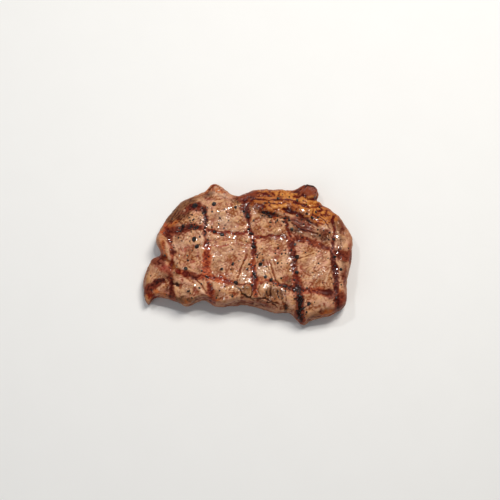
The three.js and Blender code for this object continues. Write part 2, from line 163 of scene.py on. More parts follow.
# Grill marks, point by point: x, y, half width, browning, how rusty the brown is, how black.
MARK_DEPTH = 0.75
MARK_HALF_WIDTH = 2.3
UNDER_SHIFT_X, UNDER_SHIFT_Y = 7.0, 9.0
MARKS = [
    [
        (-57.0, 19.0, 1.6, 0.45, 0.9, 0.0), (-54.6, 14.0, 1.7, 0.95, 0.2, 0.35),
        (-53.5, 9.9, 1.6, 0.95, 0.1, 0.35), (-52.5, 5.5, 1.3, 0.55, 0.5, 0.1),
        (-51.4, 2.0, 1.3, 0.6, 0.4, 0.15), (-50.7, -0.6, 1.6, 0.95, 0.1, 0.4),
        (-51.0, -4.0, 1.3, 0.45, 0.6, 0.05), (-51.8, -8.0, 1.3, 0.5, 0.5, 0.1),
        (-52.0, -10.8, 1.3, 0.95, 0.1, 0.4), (-52.0, -14.0, 1.4, 0.35, 0.3, 0.0),
        (-51.5, -20.0, 1.6, 0.5, 0.2, 0.15), (-51.4, -25.0, 1.8, 0.7, 0.1, 0.35),
        (-51.3, -29.2, 1.8, 0.9, 0.1, 0.5), (-51.0, -32.0, 1.8, 0.7, 0.3, 0.3),
    ],
    [
        (-30.4, 31.5, 1.2, 0.5, 0.2, 0.3), (-29.4, 27.5, 1.1, 0.9, 0.2, 0.8),
        (-28.6, 23.5, 1.1, 0.95, 0.2, 0.8), (-29.2, 18.5, 1.2, 0.8, 0.3, 0.5),
        (-29.2, 13.0, 1.2, 0.6, 0.4, 0.3), (-28.6, 8.0, 1.2, 0.45, 0.6, 0.15),
        (-28.1, 3.5, 1.5, 0.75, 0.8, 0.1), (-27.8, -1.5, 2.0, 0.95, 0.85, 0.2),
        (-27.6, -6.0, 2.1, 1.0, 1.0, 0.1), (-27.9, -11.0, 1.9, 0.8, 1.0, 0.05),
        (-28.1, -15.5, 1.9, 0.9, 0.9, 0.15), (-27.2, -20.0, 1.3, 0.4, 0.7, 0.05),
        (-25.7, -24.3, 1.6, 0.8, 0.6, 0.2), (-24.8, -29.0, 2.0, 0.9, 0.4, 0.3),
        (-24.0, -33.0, 2.0, 0.9, 0.3, 0.35),
    ],
    [
        (-3.6, 34.5, 2.6, 0.7, 0.1, 0.1), (-2.6, 30.5, 2.6, 0.85, 0.05, 0.25),
        (-1.2, 26.0, 2.0, 0.9, 0.05, 0.4), (0.0, 22.8, 1.4, 0.95, 0.2, 0.75),
        (0.3, 19.0, 1.0, 0.6, 0.5, 0.3), (0.6, 15.5, 1.3, 0.7, 0.5, 0.4),
        (1.8, 11.8, 1.6, 0.9, 0.5, 0.5), (3.0, 8.0, 1.3, 0.9, 0.9, 0.1),
        (3.7, 4.0, 1.5, 0.9, 0.4, 0.55), (3.6, -1.0, 1.3, 0.75, 0.4, 0.35),
        (3.0, -5.3, 1.2, 0.65, 0.4, 0.3), (2.7, -9.5, 1.4, 0.95, 0.95, 0.15),
        (3.5, -14.0, 1.4, 0.95, 0.7, 0.35), (4.5, -17.8, 1.6, 1.0, 0.5, 0.55),
        (4.0, -21.5, 1.6, 1.0, 0.6, 0.5), (3.9, -25.5, 1.5, 0.9, 0.7, 0.35),
        (5.0, -30.0, 1.3, 0.6, 0.6, 0.2),
    ],
    [
        (24.6, 24.5, 1.0, 0.4, 0.4, 0.2), (25.0, 20.0, 0.9, 0.8, 0.4, 0.5),
        (26.0, 15.5, 0.9, 0.7, 0.4, 0.35), (27.3, 11.0, 1.2, 0.7, 0.8, 0.15),
        (28.4, 6.2, 2.0, 0.9, 0.3, 0.2), (29.2, 1.0, 1.9, 0.9, 0.25, 0.25),
        (30.1, -5.0, 1.8, 0.85, 0.1, 0.2), (30.6, -10.0, 1.5, 0.8, 0.2, 0.15),
        (30.8, -14.2, 1.4, 0.8, 0.3, 0.15), (31.6, -18.5, 2.0, 0.9, 0.6, 0.3),
        (32.3, -22.5, 2.4, 1.0, 0.2, 0.55), (33.4, -26.5, 2.2, 1.0, 0.2, 0.8),
        (34.1, -31.0, 2.1, 1.0, 0.0, 0.95), (34.2, -36.0, 2.1, 1.0, 0.0, 0.95),
        (33.4, -41.0, 2.6, 1.0, 0.1, 0.85), (35.4, -46.0, 2.2, 1.0, 0.1, 0.7),
    ],
    [
        (56.6, 22.0, 0.9, 0.4, 0.4, 0.1), (57.6, 16.0, 1.0, 0.45, 0.4, 0.1),
        (57.4, 10.5, 1.1, 0.55, 0.3, 0.15), (56.3, 4.5, 1.2, 0.65, 0.2, 0.15),
        (55.9, -0.6, 1.3, 0.9, 0.05, 0.25), (56.9, -7.4, 1.4, 0.95, 0.05, 0.3),
        (58.1, -13.5, 1.4, 0.95, 0.0, 0.3), (58.5, -20.3, 1.4, 0.95, 0.0, 0.25),
        (58.1, -26.4, 1.6, 1.0, 0.0, 0.3), (59.2, -32.5, 2.1, 1.0, 0.0, 0.5),
        (60.5, -38.5, 2.5, 1.0, 0.0, 0.7),
    ],
    [
        (-59.0, 14.0, 1.2, 0.5, 0.9, 0.0), (-53.8, 13.4, 2.0, 0.95, 0.15, 0.3),
        (-49.1, 13.4, 2.4, 1.0, 0.05, 0.4), (-45.1, 14.1, 2.3, 1.0, 0.05, 0.45),
        (-41.0, 15.6, 1.9, 0.95, 0.1, 0.45), (-37.8, 16.4, 1.7, 0.9, 0.1, 0.45),
        (-33.8, 16.0, 1.5, 0.85, 0.3, 0.4), (-29.1, 15.3, 1.4, 0.85, 0.4, 0.45),
    ],
    [
        (-29.1, 15.3, 1.1, 0.8, 0.6, 0.3), (-23.2, 13.6, 0.9, 0.75, 0.6, 0.35),
        (-17.5, 12.2, 1.0, 0.8, 0.5, 0.3), (-13.4, 12.9, 1.0, 0.7, 1.0, 0.1),
        (-8.8, 12.1, 0.6, 0.65, 1.0, 0.0), (-2.6, 12.4, 0.6, 0.7, 0.9, 0.05),
        (0.5, 13.2, 0.7, 0.6, 0.7, 0.2),
    ],
    [
        (3.0, 9.8, 1.0, 0.85, 0.7, 0.3), (10.2, 9.4, 0.9, 0.65, 0.6, 0.25),
        (14.4, 10.3, 0.8, 0.55, 0.5, 0.15), (19.0, 9.6, 1.0, 0.8, 0.8, 0.25),
        (22.1, 10.4, 0.8, 0.55, 0.7, 0.1), (25.7, 9.0, 1.1, 0.7, 0.6, 0.2),
        (31.1, 8.6, 1.8, 0.6, 0.3, 0.1), (36.4, 7.9, 2.2, 0.8, 0.45, 0.15),
        (45.8, 4.8, 2.0, 0.7, 0.35, 0.1), (52.9, 2.2, 1.8, 0.5, 0.3, 0.1),
        (57.5, -0.3, 2.4, 0.75, 0.1, 0.15), (62.0, -2.2, 2.9, 0.85, 0.1, 0.1),
        (67.5, -3.4, 2.8, 0.85, 0.1, 0.1),
    ],
    [
        (-47.5, -13.0, 1.2, 0.5, 0.9, 0.1), (-43.0, -14.9, 1.4, 0.95, 0.5, 0.35),
        (-39.0, -16.3, 1.6, 1.0, 0.15, 0.5), (-35.0, -17.4, 1.6, 0.95, 0.1, 0.4),
        (-31.5, -17.4, 1.5, 0.8, 0.7, 0.15), (-27.5, -17.0, 1.6, 0.85, 1.0, 0.15),
        (-23.5, -18.2, 1.4, 0.7, 1.0, 0.1), (-19.0, -18.9, 1.8, 1.0, 1.0, 0.2),
        (-15.0, -20.0, 1.5, 0.9, 0.9, 0.15), (-11.5, -21.6, 1.1, 0.6, 0.7, 0.1),
        (-8.0, -22.2, 1.0, 0.5, 0.5, 0.3),
    ],
    [
        (-8.0, -22.2, 0.9, 0.35, 0.7, 0.1), (4.0, -22.5, 1.0, 0.4, 0.7, 0.1),
        (11.0, -19.8, 1.0, 0.5, 0.6, 0.3), (16.0, -20.4, 1.1, 0.5, 0.5, 0.3),
        (21.1, -23.0, 1.1, 0.7, 0.4, 0.5), (26.0, -24.2, 1.3, 0.9, 0.4, 0.65),
        (30.0, -25.6, 1.6, 0.95, 0.3, 0.6),
    ],
    [
        (30.0, -25.8, 1.6, 1.0, 0.4, 0.7), (33.5, -26.6, 1.6, 1.0, 0.4, 0.75),
        (37.0, -26.6, 1.5, 1.0, 0.6, 0.35), (41.6, -26.6, 1.5, 1.0, 0.55, 0.3),
        (46.7, -26.4, 1.6, 1.0, 0.6, 0.15), (49.5, -27.6, 2.1, 1.0, 0.3, 0.1),
        (54.5, -29.0, 2.3, 1.0, 0.0, 0.1), (59.6, -30.2, 2.0, 1.0, 0.05, 0.25),
        (64.5, -31.0, 2.0, 0.95, 0.1, 0.4),
    ],
    [
        (-42.3, 29.0, 1.6, 0.5, 0.1, 0.1), (-38.5, 30.6, 2.2, 0.9, 0.0, 0.3),
        (-34.8, 31.4, 2.4, 0.95, 0.0, 0.45), (-31.0, 30.0, 1.8, 0.7, 0.1, 0.3),
        (-28.6, 29.0, 1.3, 0.5, 0.1, 0.2),
    ],
    [
        (-71.0, -26.0, 1.7, 1.0, 0.05, 0.4), (-65.6, -22.9, 2.0, 1.0, 0.05, 0.45),
        (-61.7, -21.2, 1.9, 1.0, 0.0, 0.6), (-58.2, -19.4, 1.5, 0.95, 0.0, 0.8),
    ],
]

# Broad waves of the cooked surface: wavelength, direction in degrees, phase, height.
WAVES = [
    (37, 20, 0.4, 0.45),
    (26, 80, 1.9, 0.4),
    (19, 135, 3.1, 0.3),
    (13, 50, 4.4, 0.25),
    (9.5, 165, 5.2, 0.2),
    (7.5, 105, 0.9, 0.16),
]

# How the meat's fibres run: centre, radius, heading in degrees, wavelength across, height.
FIBRES = [
    ((-14.8, 21.1), 12, -38, 1.9, 0.22),
    ((-13.8, 2.0), 12, 2, 2.0, 0.2),
    ((-5.9, -14.0), 8, 72, 1.7, 0.26),
    ((15.7, -14.0), 8, -66, 1.6, 0.3),
    ((16.8, 6.0), 9, 35, 2.2, 0.2),
    ((-40.4, 4.0), 12, -58, 2.1, 0.16),
    ((-40.2, -27.8), 9, 15, 2.4, 0.16),
    ((49.0, -35.5), 12, 20, 2.6, 0.14),
    ((29.8, 30.2), 14, -31, 2.4, 0.34),
    ((51.7, 25.6), 9, -42, 2.4, 0.34),
    ((8.0, 38.0), 14, 0, 2.4, 0.3),
    ((65.3, 8.3), 9, 84, 2.0, 0.22),
    ((-47.0, 27.5), 12, 58, 1.7, 0.42),
    ((-60.3, -16.1), 8, 60, 2.2, 0.16),
    ((15.7, -30.7), 9, 86, 1.7, 0.34),
    ((-20.1, 43.1), 6, 35, 1.5, 0.24),
]

# Places with a look of their own: centre, half lengths along and across, heading, strength.
BLACKENED = [
    (3.7, -21.6, 1.8, 5.0, 0, 0.4), (40.9, 20.4, 3.4, 1.3, -38, 1.0),
    (32.7, -26.2, 2.4, 1.6, 0, 0.9), (25.3, -39.0, 2.4, 1.8, 60, 1.0),
    (-47.5, -22.7, 2.6, 1.5, -30, 0.95), (-34.6, 31.7, 2.4, 1.6, 0, 0.6),
    (41.6, 47.6, 5.4, 2.8, 4, 0.95), (-1.0, -25.8, 0.9, 0.8, 0, 1.0),
    (-52.0, -30.2, 2.0, 2.2, 90, 0.7), (-25.8, -31.0, 2.2, 2.4, 90, 0.5),
    (60.3, 21.3, 1.6, 2.6, 90, 0.5), (2.3, -23.1, 1.0, 1.2, 0, 0.9), (19.9, 36.5, 1.8, 1.2, 0, 0.5),
    (32.8, 35.0, 2.2, 0.9, -35, 0.7), (61.3, -35.0, 3.0, 4.0, 90, 0.55),
    (-3.9, -31.3, 3.4, 1.2, -8, 0.7), (4.5, 43.9, 7.0, 1.6, 5, 0.45),
    (-68.1, -31.9, 2.0, 1.2, 0, 0.5), (7.9, -35.6, 2.5, 1.2, -20, 0.4),
    (-12.3, -34.1, 5.0, 1.4, 5, 0.5), (29.7, 16.0, 1.0, 3.6, 0, 0.45),
]
PLUM = [
    (-43.1, 27.2, 6.0, 3.4, 25, 0.45), (42.0, 43.8, 6.0, 2.6, 0, 0.85),
    (-1.0, 38.2, 9.0, 4.0, 6, 0.6), (1.5, 39.4, 8.0, 3.6, 3, 0.9), (5.0, 29.7, 6.0, 4.0, -10, 0.5),
    (-7.0, 36.5, 5.0, 1.8, -6, 0.6), (41.0, 43.8, 7.4, 5.4, 8, 1.3),
    (27.1, 28.7, 3.0, 3.6, 0, 0.75), (36.1, 17.6, 8.5, 3.6, -33, 1.2),
    (50.9, 13.2, 5.0, 3.2, -10, 0.5), (63.5, 16.6, 2.6, 6.0, 12, 0.6),
    (64.1, -16.8, 2.4, 8.0, 0, 0.7), (-60.8, -5.4, 6.0, 3.2, -14, 1.0),
    (-51.6, -18.7, 6.0, 2.4, -8, 0.6), (-55.2, -26.2, 4.4, 3.4, 0, 0.65),
    (-36.3, 29.5, 6.5, 2.8, 4, 0.6), (61.3, -34.0, 4.0, 4.0, 0, 0.7),
    (45.9, 5.0, 9.0, 2.2, -12, 0.35), (10.8, -35.4, 12.0, 2.4, -14, 0.6),
    (-25.0, -28.7, 2.4, 4.5, 10, 0.4), (68.9, -2.6, 1.4, 9.0, 5, 0.55),
    (-44.0, 18.1, 8.0, 1.6, 10, 0.35), (43.0, 36.3, 6.0, 1.6, 0, 0.6),
    (11.9, 26.6, 6.0, 2.2, -8, 0.45), (-33.7, 22.1, 2.5, 5.0, 0, 0.25),
    (-64.3, -24.4, 6.0, 2.2, 20, 0.6),
]
RUST = [
    (-64.5, -28.9, 3.8, 2.8, 0, 0.9), (-61.4, -26.6, 1.9, 1.6, 0, 1.0),
    (-57.6, -28.9, 3.2, 2.2, -10, 0.8), (-51.0, 18.8, 7.0, 3.0, 30, 0.6),
    (-57.9, 5.6, 2.8, 6.5, 0, 0.6), (-20.6, 43.5, 5.5, 2.4, -20, 0.75),
    (-30.5, 45.3, 6.0, 2.4, 30, 0.6), (-18.8, -17.6, 4.2, 2.0, -12, 0.85),
    (60.1, -27.4, 2.4, 2.0, 0, 1.0), (53.0, -41.3, 8.0, 2.0, 14, 0.8),
    (32.2, -16.5, 2.4, 4.4, 0, 0.6), (16.7, -32.6, 8.0, 3.0, -12, 0.4),
    (7.7, -19.4, 3.2, 3.0, 0, 0.75), (17.0, 22.7, 2.2, 1.6, 0, 0.9),
    (9.4, -26.5, 3.0, 2.0, 0, 0.35), (-9.8, -27.8, 5.0, 3.0, 0, 0.45),
    (-27.0, -14.5, 4.6, 2.4, -20, 0.9), (-21.6, -33.0, 6.0, 2.0, -6, 0.5),
    (-39.6, -34.3, 8.0, 1.6, -4, 0.5), (13.8, 7.0, 7.0, 2.2, -10, 0.35),
    (23.7, 12.0, 2.4, 6.0, 0, 0.35), (-55.2, -2.9, 1.6, 1.6, 0, 0.8), (57.8, 9.5, 1.6, 3.0, 0, 0.6),
    (0.0, -32.6, 6.0, 1.8, -5, 0.5), (47.1, 21.1, 4.5, 2.8, -30, 0.6),
    (-15.7, -22.4, 6.0, 1.6, -6, 0.5), (37.8, -40.5, 3.0, 2.0, 40, 0.4),
    (1.2, -19.4, 2.0, 3.4, 10, 0.5),
]
BLUSHING = [
    (-58.9, 0.6, 3.4, 4.0, 20, 1.0), (-55.6, -11.6, 6.4, 3.6, -34, 1.1),
    (-53.7, -13.7, 2.6, 1.6, -40, 1.2), (-37.4, -7.5, 2.4, 1.8, 30, 0.7),
    (-46.7, -3.5, 3.4, 4.0, 0, 0.45), (-42.8, 0.6, 4.0, 1.4, 25, 0.7),
    (68.1, 3.5, 1.0, 7.5, 4, 0.8), (23.7, 1.0, 3.4, 2.6, 0, 0.3), (35.0, -11.0, 2.6, 4.6, 0, 0.5),
    (-22.6, 0.5, 2.0, 2.0, 0, 0.35), (39.8, -15.0, 7.0, 5.0, 30, 0.3),
    (49.1, -14.0, 5.0, 7.0, 0, 0.3), (29.4, -31.2, 5.0, 4.0, 0, 0.35),
    (45.1, -32.7, 8.0, 4.0, -12, 0.3), (-32.3, -25.8, 7.0, 4.6, 20, 0.3),
    (-62.4, -8.6, 4.0, 2.4, -20, 0.5), (8.8, -31.3, 9.0, 1.4, -6, 0.3),
    (55.5, -37.3, 3.0, 4.0, 0, 0.5), (16.3, 20.1, 2.2, 1.8, -30, 0.5),
    (12.3, 18.5, 1.6, 1.6, 40, 0.4), (-33.7, 25.2, 3.0, 6.0, 0, 0.25),
]
BROWNED = [
    (-43.1, 27.2, 6.0, 3.4, 25, 0.55), (61.8, 8.2, 4.6, 5.4, 0, 0.4),
    (-47.3, 27.0, 14.0, 5.5, 46, 1.3), (-37.9, 31.9, 8.0, 4.0, 20, 0.6),
    (-27.1, 40.3, 8.0, 3.0, 30, 0.5), (-53.4, 15.7, 8.0, 4.0, 20, 0.6),
    (-46.1, -15.0, 8.0, 3.0, -10, 0.5), (-55.2, -15.5, 6.0, 5.0, 0, 0.4),
    (5.0, 33.3, 8.0, 5.0, 0, 0.65), (59.5, 18.4, 6.0, 6.0, 0, 0.65),
    (47.4, 10.0, 10.0, 4.0, -12, 0.55), (35.6, 14.0, 10.0, 5.0, -20, 0.5),
    (63.0, -6.9, 3.0, 14.0, 0, 0.45), (0.0, -25.9, 10.0, 5.0, 0, 0.45),
    (16.7, -28.8, 8.0, 5.0, 0, 0.7), (-23.5, -29.7, 6.0, 6.0, 0, 0.45),
    (-44.2, -32.4, 12.0, 3.0, 0, 0.55), (29.4, -21.9, 5.0, 5.0, 0, 0.5),
    (49.2, -41.0, 12.0, 3.0, 14, 0.5), (19.8, 10.0, 10.0, 4.0, -5, 0.4),
    (12.9, 25.1, 9.0, 3.0, -5, 0.65), (-7.9, 34.3, 8.0, 2.5, -8, 0.45),
    (-30.4, -14.0, 5.0, 4.0, 0, 0.4),
]
GOLDEN_FAT = [
    (43.1, 30.3, 5.0, 2.8, -25, 0.95), (27.0, 39.6, 7.5, 2.2, 0, 1.0),
    (40.6, 36.4, 4.4, 1.6, 0, 0.9), (43.0, 32.6, 4.6, 3.0, -20, 1.0),
    (46.6, 24.4, 5.0, 2.0, -32, 0.8), (19.6, 31.0, 4.6, 2.2, -10, 0.8),
    (33.0, 35.2, 4.0, 1.4, -25, 0.6), (50.0, 27.0, 4.0, 2.4, -40, 0.7),
    (9.0, 41.0, 3.0, 1.2, 0, 0.4), (37.6, 28.4, 5.0, 1.4, -35, 0.5),
    (24.0, 31.6, 4.0, 1.8, -20, 0.6),
]
OCHRE = [
    (16.8, 16.5, 7.0, 5.0, 0, 0.7), (-38.0, 36.2, 9.0, 2.4, 38, 0.55),
    (41.4, -0.6, 5.0, 2.4, 20, 0.65), (-6.4, 32.2, 5.0, 2.2, -8, 0.7),
    (35.8, -19.4, 3.4, 2.0, -10, 0.6), (-67.8, -14.5, 2.0, 6.5, 4, 0.8),
    (-61.8, -16.6, 5.0, 4.0, 0, 0.5), (-45.7, -10.5, 3.4, 3.0, 0, 0.4),
    (46.1, -21.4, 6.0, 3.0, 0, 0.35), (-56.3, 7.1, 3.0, 4.6, 0, 0.5),
    (12.3, -0.0, 6.0, 5.0, 0, 0.25), (-14.7, -6.0, 8.0, 4.0, 0, 0.25),
    (-45.5, 20.2, 6.0, 3.4, 35, 0.45), (24.1, -10.0, 4.0, 6.0, 0, 0.3),
    (-51.1, -25.1, 3.6, 3.0, 0, 0.3), (6.0, -25.0, 16.0, 5.0, -6, 0.75),
    (-12.0, -26.5, 8.0, 4.0, 0, 0.5), (10.0, -16.0, 6.0, 4.0, 0, 0.4),
]
# Pale places: the meat's own pale fat, and patches of painted sheen where the fat glistens wet.
PALE = [
    (-16.3, 20.1, 6.0, 4.6, -30, 0.65), (-20.7, -5.0, 3.6, 7.0, 0, 0.35),
    (-3.9, -17.8, 1.4, 3.8, -14, 0.9), (8.5, -13.6, 4.2, 2.4, 35, 0.9),
    (60.7, 5.5, 4.2, 3.4, 0, 0.2), (59.7, 13.1, 2.6, 5.4, 10, 0.2), (62.0, -7.9, 2.0, 3.8, 4, 0.5),
    (9.4, -25.5, 3.0, 2.0, 0, 0.45), (-20.5, 40.4, 4.6, 1.8, -20, 0.7),
    (-30.6, 9.0, 3.6, 3.0, 0, 0.5), (-30.2, 20.6, 3.0, 5.0, 0, 0.3),
    (-23.5, -24.9, 4.0, 3.0, 0, 0.3), (-47.3, 4.5, 6.0, 3.6, 0, 0.4),
    (-11.8, 1.0, 8.0, 3.0, -4, 0.35), (42.8, -7.5, 8.0, 3.6, 10, 0.35),
    (32.6, 6.0, 3.0, 2.0, -20, 0.35), (-8.8, -23.9, 3.0, 2.6, 20, 0.4),
    (50.9, -31.7, 6.0, 3.0, -10, 0.2), (24.6, -5.0, 3.0, 5.0, 0, 0.25),
    (14.9, 35.4, 6.0, 1.6, 0, 0.3), (-62.9, -12.5, 3.0, 3.0, 0, 0.35),
    (19.7, -13.5, 3.0, 5.0, -10, 0.2), (-41.6, -27.3, 4.0, 4.0, 0, 0.25),
]
GREASY = [
    (-28.5, 22.0, 2.6, 9.0, 0, 0.9), (-17.0, 21.0, 8.0, 6.5, -30, 0.9),
    (-12.0, 12.5, 12.0, 3.0, -4, 0.9), (1.5, 14.0, 3.0, 13.0, 0, 0.9),
    (-28.0, 4.0, 4.0, 8.0, 0, 0.6), (0.0, -16.0, 6.0, 9.0, 0, 1.0), (9.5, -14.0, 6.0, 5.0, 20, 0.9),
    (9.4, -25.5, 6.0, 4.0, 0, 1.0), (-9.0, -23.0, 6.0, 4.0, -20, 0.9),
    (-18.0, -18.0, 9.0, 3.0, -8, 0.9), (-18.0, -28.5, 6.0, 5.0, 0, 0.6),
    (18.0, -28.0, 7.0, 5.0, 0, 0.6), (44.0, -15.0, 8.0, 8.0, 0, 0.6),
    (37.0, -23.0, 8.0, 3.0, 0, 0.7), (60.5, 9.0, 4.0, 8.0, 10, 0.7), (20.0, 12.0, 9.0, 4.0, 0, 0.6),
    (34.0, 14.0, 8.0, 4.0, -30, 0.6), (38.0, 26.0, 12.0, 5.0, -35, 0.5),
    (-45.0, 3.0, 9.0, 6.0, 0, 0.45), (-23.0, -3.0, 3.0, 9.0, 0, 0.5),
    (29.0, -9.0, 3.0, 12.0, 0, 0.5), (-4.0, 31.0, 8.0, 3.0, 0, 0.5),
    (-20.5, 41.0, 5.0, 3.0, -20, 0.6), (-58.0, -26.5, 5.0, 3.0, 0, 0.4),
]
# The places that go round onto the wall, each under the name of its mask.
PATCHES = {"plum": PLUM, "rust": RUST, "ochre": OCHRE, "browned": BROWNED, "gold": GOLDEN_FAT}

# Fine lines on the meat: path, half width, strength.
RED_LINES = [
    ([(-24.8, 4.4), (-20.2, 2.7), (-15.8, 3.4), (-11.6, 4.8)], 0.5, 1.0),
    ([(-43.9, 0.6), (-42.0, 1.6), (-40.4, 2.8)], 0.5, 0.9),
    ([(-56.2, 0.1), (-54.8, -4.9)], 0.6, 0.6),
    ([(20.1, -1.0), (23.7, -1.4), (27.0, -1.0)], 0.45, 0.7),
    ([(36.3, -19.7), (42.9, -19.7), (47.6, -17.0), (50.7, -12.8)], 0.4, 0.5),
]
# Pale lines: streaks of pale fat, some of them painted highlights along glossy fibres.
PALE_LINES = [
    ([(28.3, 16.6), (30.4, 13.6)], 0.5, 0.9),
    ([(31.6, 13.9), (36.6, 11.5), (40.9, 9.0)], 0.55, 0.9),
    ([(42.6, 18.7), (45.9, 15.8), (54.0, 15.5)], 0.55, 0.8),
    ([(59.1, 19.5), (60.3, 13.1), (61.8, 7.6)], 0.6, 0.5),
    ([(50.9, -22.1), (53.0, -14.9), (55.3, -9.6)], 0.35, 0.9),
    ([(36.9, -18.6), (42.9, -18.8), (47.6, -15.8), (49.8, -12.2)], 0.4, 0.7),
    ([(-35.9, -20.3), (-32.5, -24.7), (-28.8, -29.3)], 0.9, 0.8),
    ([(0.6, 20.9), (-1.6, 15.8)], 0.4, 0.6),
    ([(-17.4, 13.6), (-10.9, 11.6), (-7.5, 12.6)], 0.5, 0.6),
    ([(-32.1, 0.6), (-30.5, -8.0)], 0.4, 0.5),
    ([(21.7, 10.4), (26.1, 11.2)], 0.7, 0.8), ([(32.6, 7.0), (37.9, 7.6)], 0.5, 0.5),
    ([(-21.7, -1.0), (-16.7, -4.2), (-17.7, -8.0)], 0.6, 0.5),
    ([(41.5, 12.0), (47.0, 8.6)], 0.7, 0.5),
    ([(43.9, -11.0), (40.9, -14.0), (43.2, -17.0), (48.1, -14.4), (47.2, -10.6)], 0.4, 0.6),
]

# The fat cap lies beyond this line across the top.
CAP_LINE_X = [-16, -6, 0, 8, 17, 26, 33, 40, 46, 53, 60, 66, 72]
CAP_LINE_Y = [44, 35, 31.5, 27.6, 25.7, 25.3, 23.6, 19.9, 16.7, 17.6, 21.6, 28, 38]


# ---------------------------------------------------------------------------
# Noise and small curves, on arrays of points
# ---------------------------------------------------------------------------

def gradient_lattice(seed):
    """The shuffled corner numbers and the directions that the noise is made from."""
    draw = np.random.default_rng(seed)
    order = draw.permutation(256)
    ways = draw.normal(size=(256, 3))
    ways /= np.linalg.norm(ways, axis=1)[:, None]
    return np.concatenate([order, order, order[:2]]), ways


ORDER, WAYS = gradient_lattice(41)


def ripple(points, size, offset=0.0):
    """Smooth noise from about -1 to 1, with features of one size.

    Each use has its own offset, so that no two noises line up.
    """
    p = points / np.asarray(size, float) + offset
    cell = np.floor(p).astype(np.int64)
    part = p - cell
    cell &= 255
    ease = part * part * part * (part * (part * 6 - 15) + 10)
    total = np.zeros(len(p))
    for corner in itertools.product((0, 1), repeat=3):
        column, row, level = (cell + corner).T
        key = ORDER[ORDER[ORDER[column] + row] + level]
        weight = np.ones(len(p))
        for axis in range(3):
            weight *= ease[:, axis] if corner[axis] else 1 - ease[:, axis]
        total += weight * ((part - corner) * WAYS[key]).sum(axis=1)
    return total * 1.6


def ripples(points, size, octaves, offset=0.0):
    """Noise with ever finer, ever weaker layers."""
    total = np.zeros(len(points))
    reach = 0.0
    for k in range(octaves):
        total += ripple(points, np.asarray(size, float) / 2**k, offset + 17.3 * k) / 2**k
        reach += 0.5**k
    return total / reach * 1.3


def level_points(x, y):
    """Places of the plan as points at height 0."""
    return np.column_stack([x, y, np.zeros_like(x)])


def smooth(low, high, value):
    """A smooth rise from 0 at low to 1 at high."""
    t = np.clip((value - low) / (high - low), 0, 1)
    return t * t * (3 - 2 * t)


def bell(distance, half_width):
    """1 at no distance, falling to nothing past the half width."""
    return np.exp(-((distance / half_width) ** 2))


def soft_step(distance, fade):
    """A soft step from 0 below no distance to 1 above it."""
    return 1 / (1 + np.exp(-np.clip(distance / fade, -40, 40)))


def path_distance(x, y, path):
    """Distance to a bent line, and how far along it the nearest place is, from 0 to 1."""
    nearest = np.full(x.shape, np.inf)
    share = np.zeros(x.shape)
    lengths = [math.dist(a, b) for a, b in zip(path, path[1:])]
    done = 0.0
    for (ax, ay), (bx, by), length in zip(path, path[1:], lengths):
        t = np.clip(((x - ax) * (bx - ax) + (y - ay) * (by - ay)) / length**2, 0, 1)
        d = np.hypot(x - ax - t * (bx - ax), y - ay - t * (by - ay))
        closer = d < nearest
        nearest = np.where(closer, d, nearest)
        share = np.where(closer, (done + t * length) / sum(lengths), share)
        done += length
    return nearest, share


def blotches(x, y, places):
    """The strongest of several soft, uneven places, each longer one way than the other."""
    total = np.zeros(x.shape)
    for cx, cy, along, across, heading, strength in places:
        c, s = math.cos(math.radians(heading)), math.sin(math.radians(heading))
        u, v = (x - cx) * c + (y - cy) * s, (y - cy) * c - (x - cx) * s
        total = np.maximum(total, strength * bell(np.hypot(u / along, v / across), 1.0))
    return total


def strokes(x, y, lines):
    """The strongest of several soft lines."""
    total = np.zeros(x.shape)
    for path, half_width, strength in lines:
        d, share = path_distance(x, y, path)
        ends = smooth(0.0, 0.15, share) * smooth(0.0, 0.15, 1 - share)
        total = np.maximum(total, strength * bell(d, half_width) * (0.3 + 0.7 * ends))
    return total


# ---------------------------------------------------------------------------
# Plan of the steak
# ---------------------------------------------------------------------------

def smooth_outline(points, samples):
    """A closed centripetal Catmull-Rom curve, with this many samples for each point."""
    p = np.array(points)
    t = np.linspace(0, 1, samples, endpoint=False)[:, None]
    spans = []
    for k in range(len(p)):
        p0, p1, p2, p3 = (p[(k + n) % len(p)] for n in (-1, 0, 1, 2))
        d0, d1, d2 = (math.sqrt(math.dist(a, b)) for a, b in ((p0, p1), (p1, p2), (p2, p3)))
        start = ((p1 - p0) / d0 - (p2 - p0) / (d0 + d1) + (p2 - p1) / d1) * d1
        stop = ((p2 - p1) / d1 - (p3 - p1) / (d1 + d2) + (p3 - p2) / d2) * d1
        spans.append(
            p1 + start * t + (3 * p2 - 3 * p1 - 2 * start - stop) * t**2
            + (2 * p1 - 2 * p2 + start + stop) * t**3
        )
    return spans


def evenly(points, count):
    """A run of points spaced evenly along a bent line, without its last point."""
    steps = np.linalg.norm(np.diff(points, axis=0), axis=1)
    walked = np.concatenate([[0], np.cumsum(steps)])
    wanted = np.linspace(0, walked[-1], count, endpoint=False)
    return np.column_stack([np.interp(wanted, walked, points[:, axis]) for axis in (0, 1)])


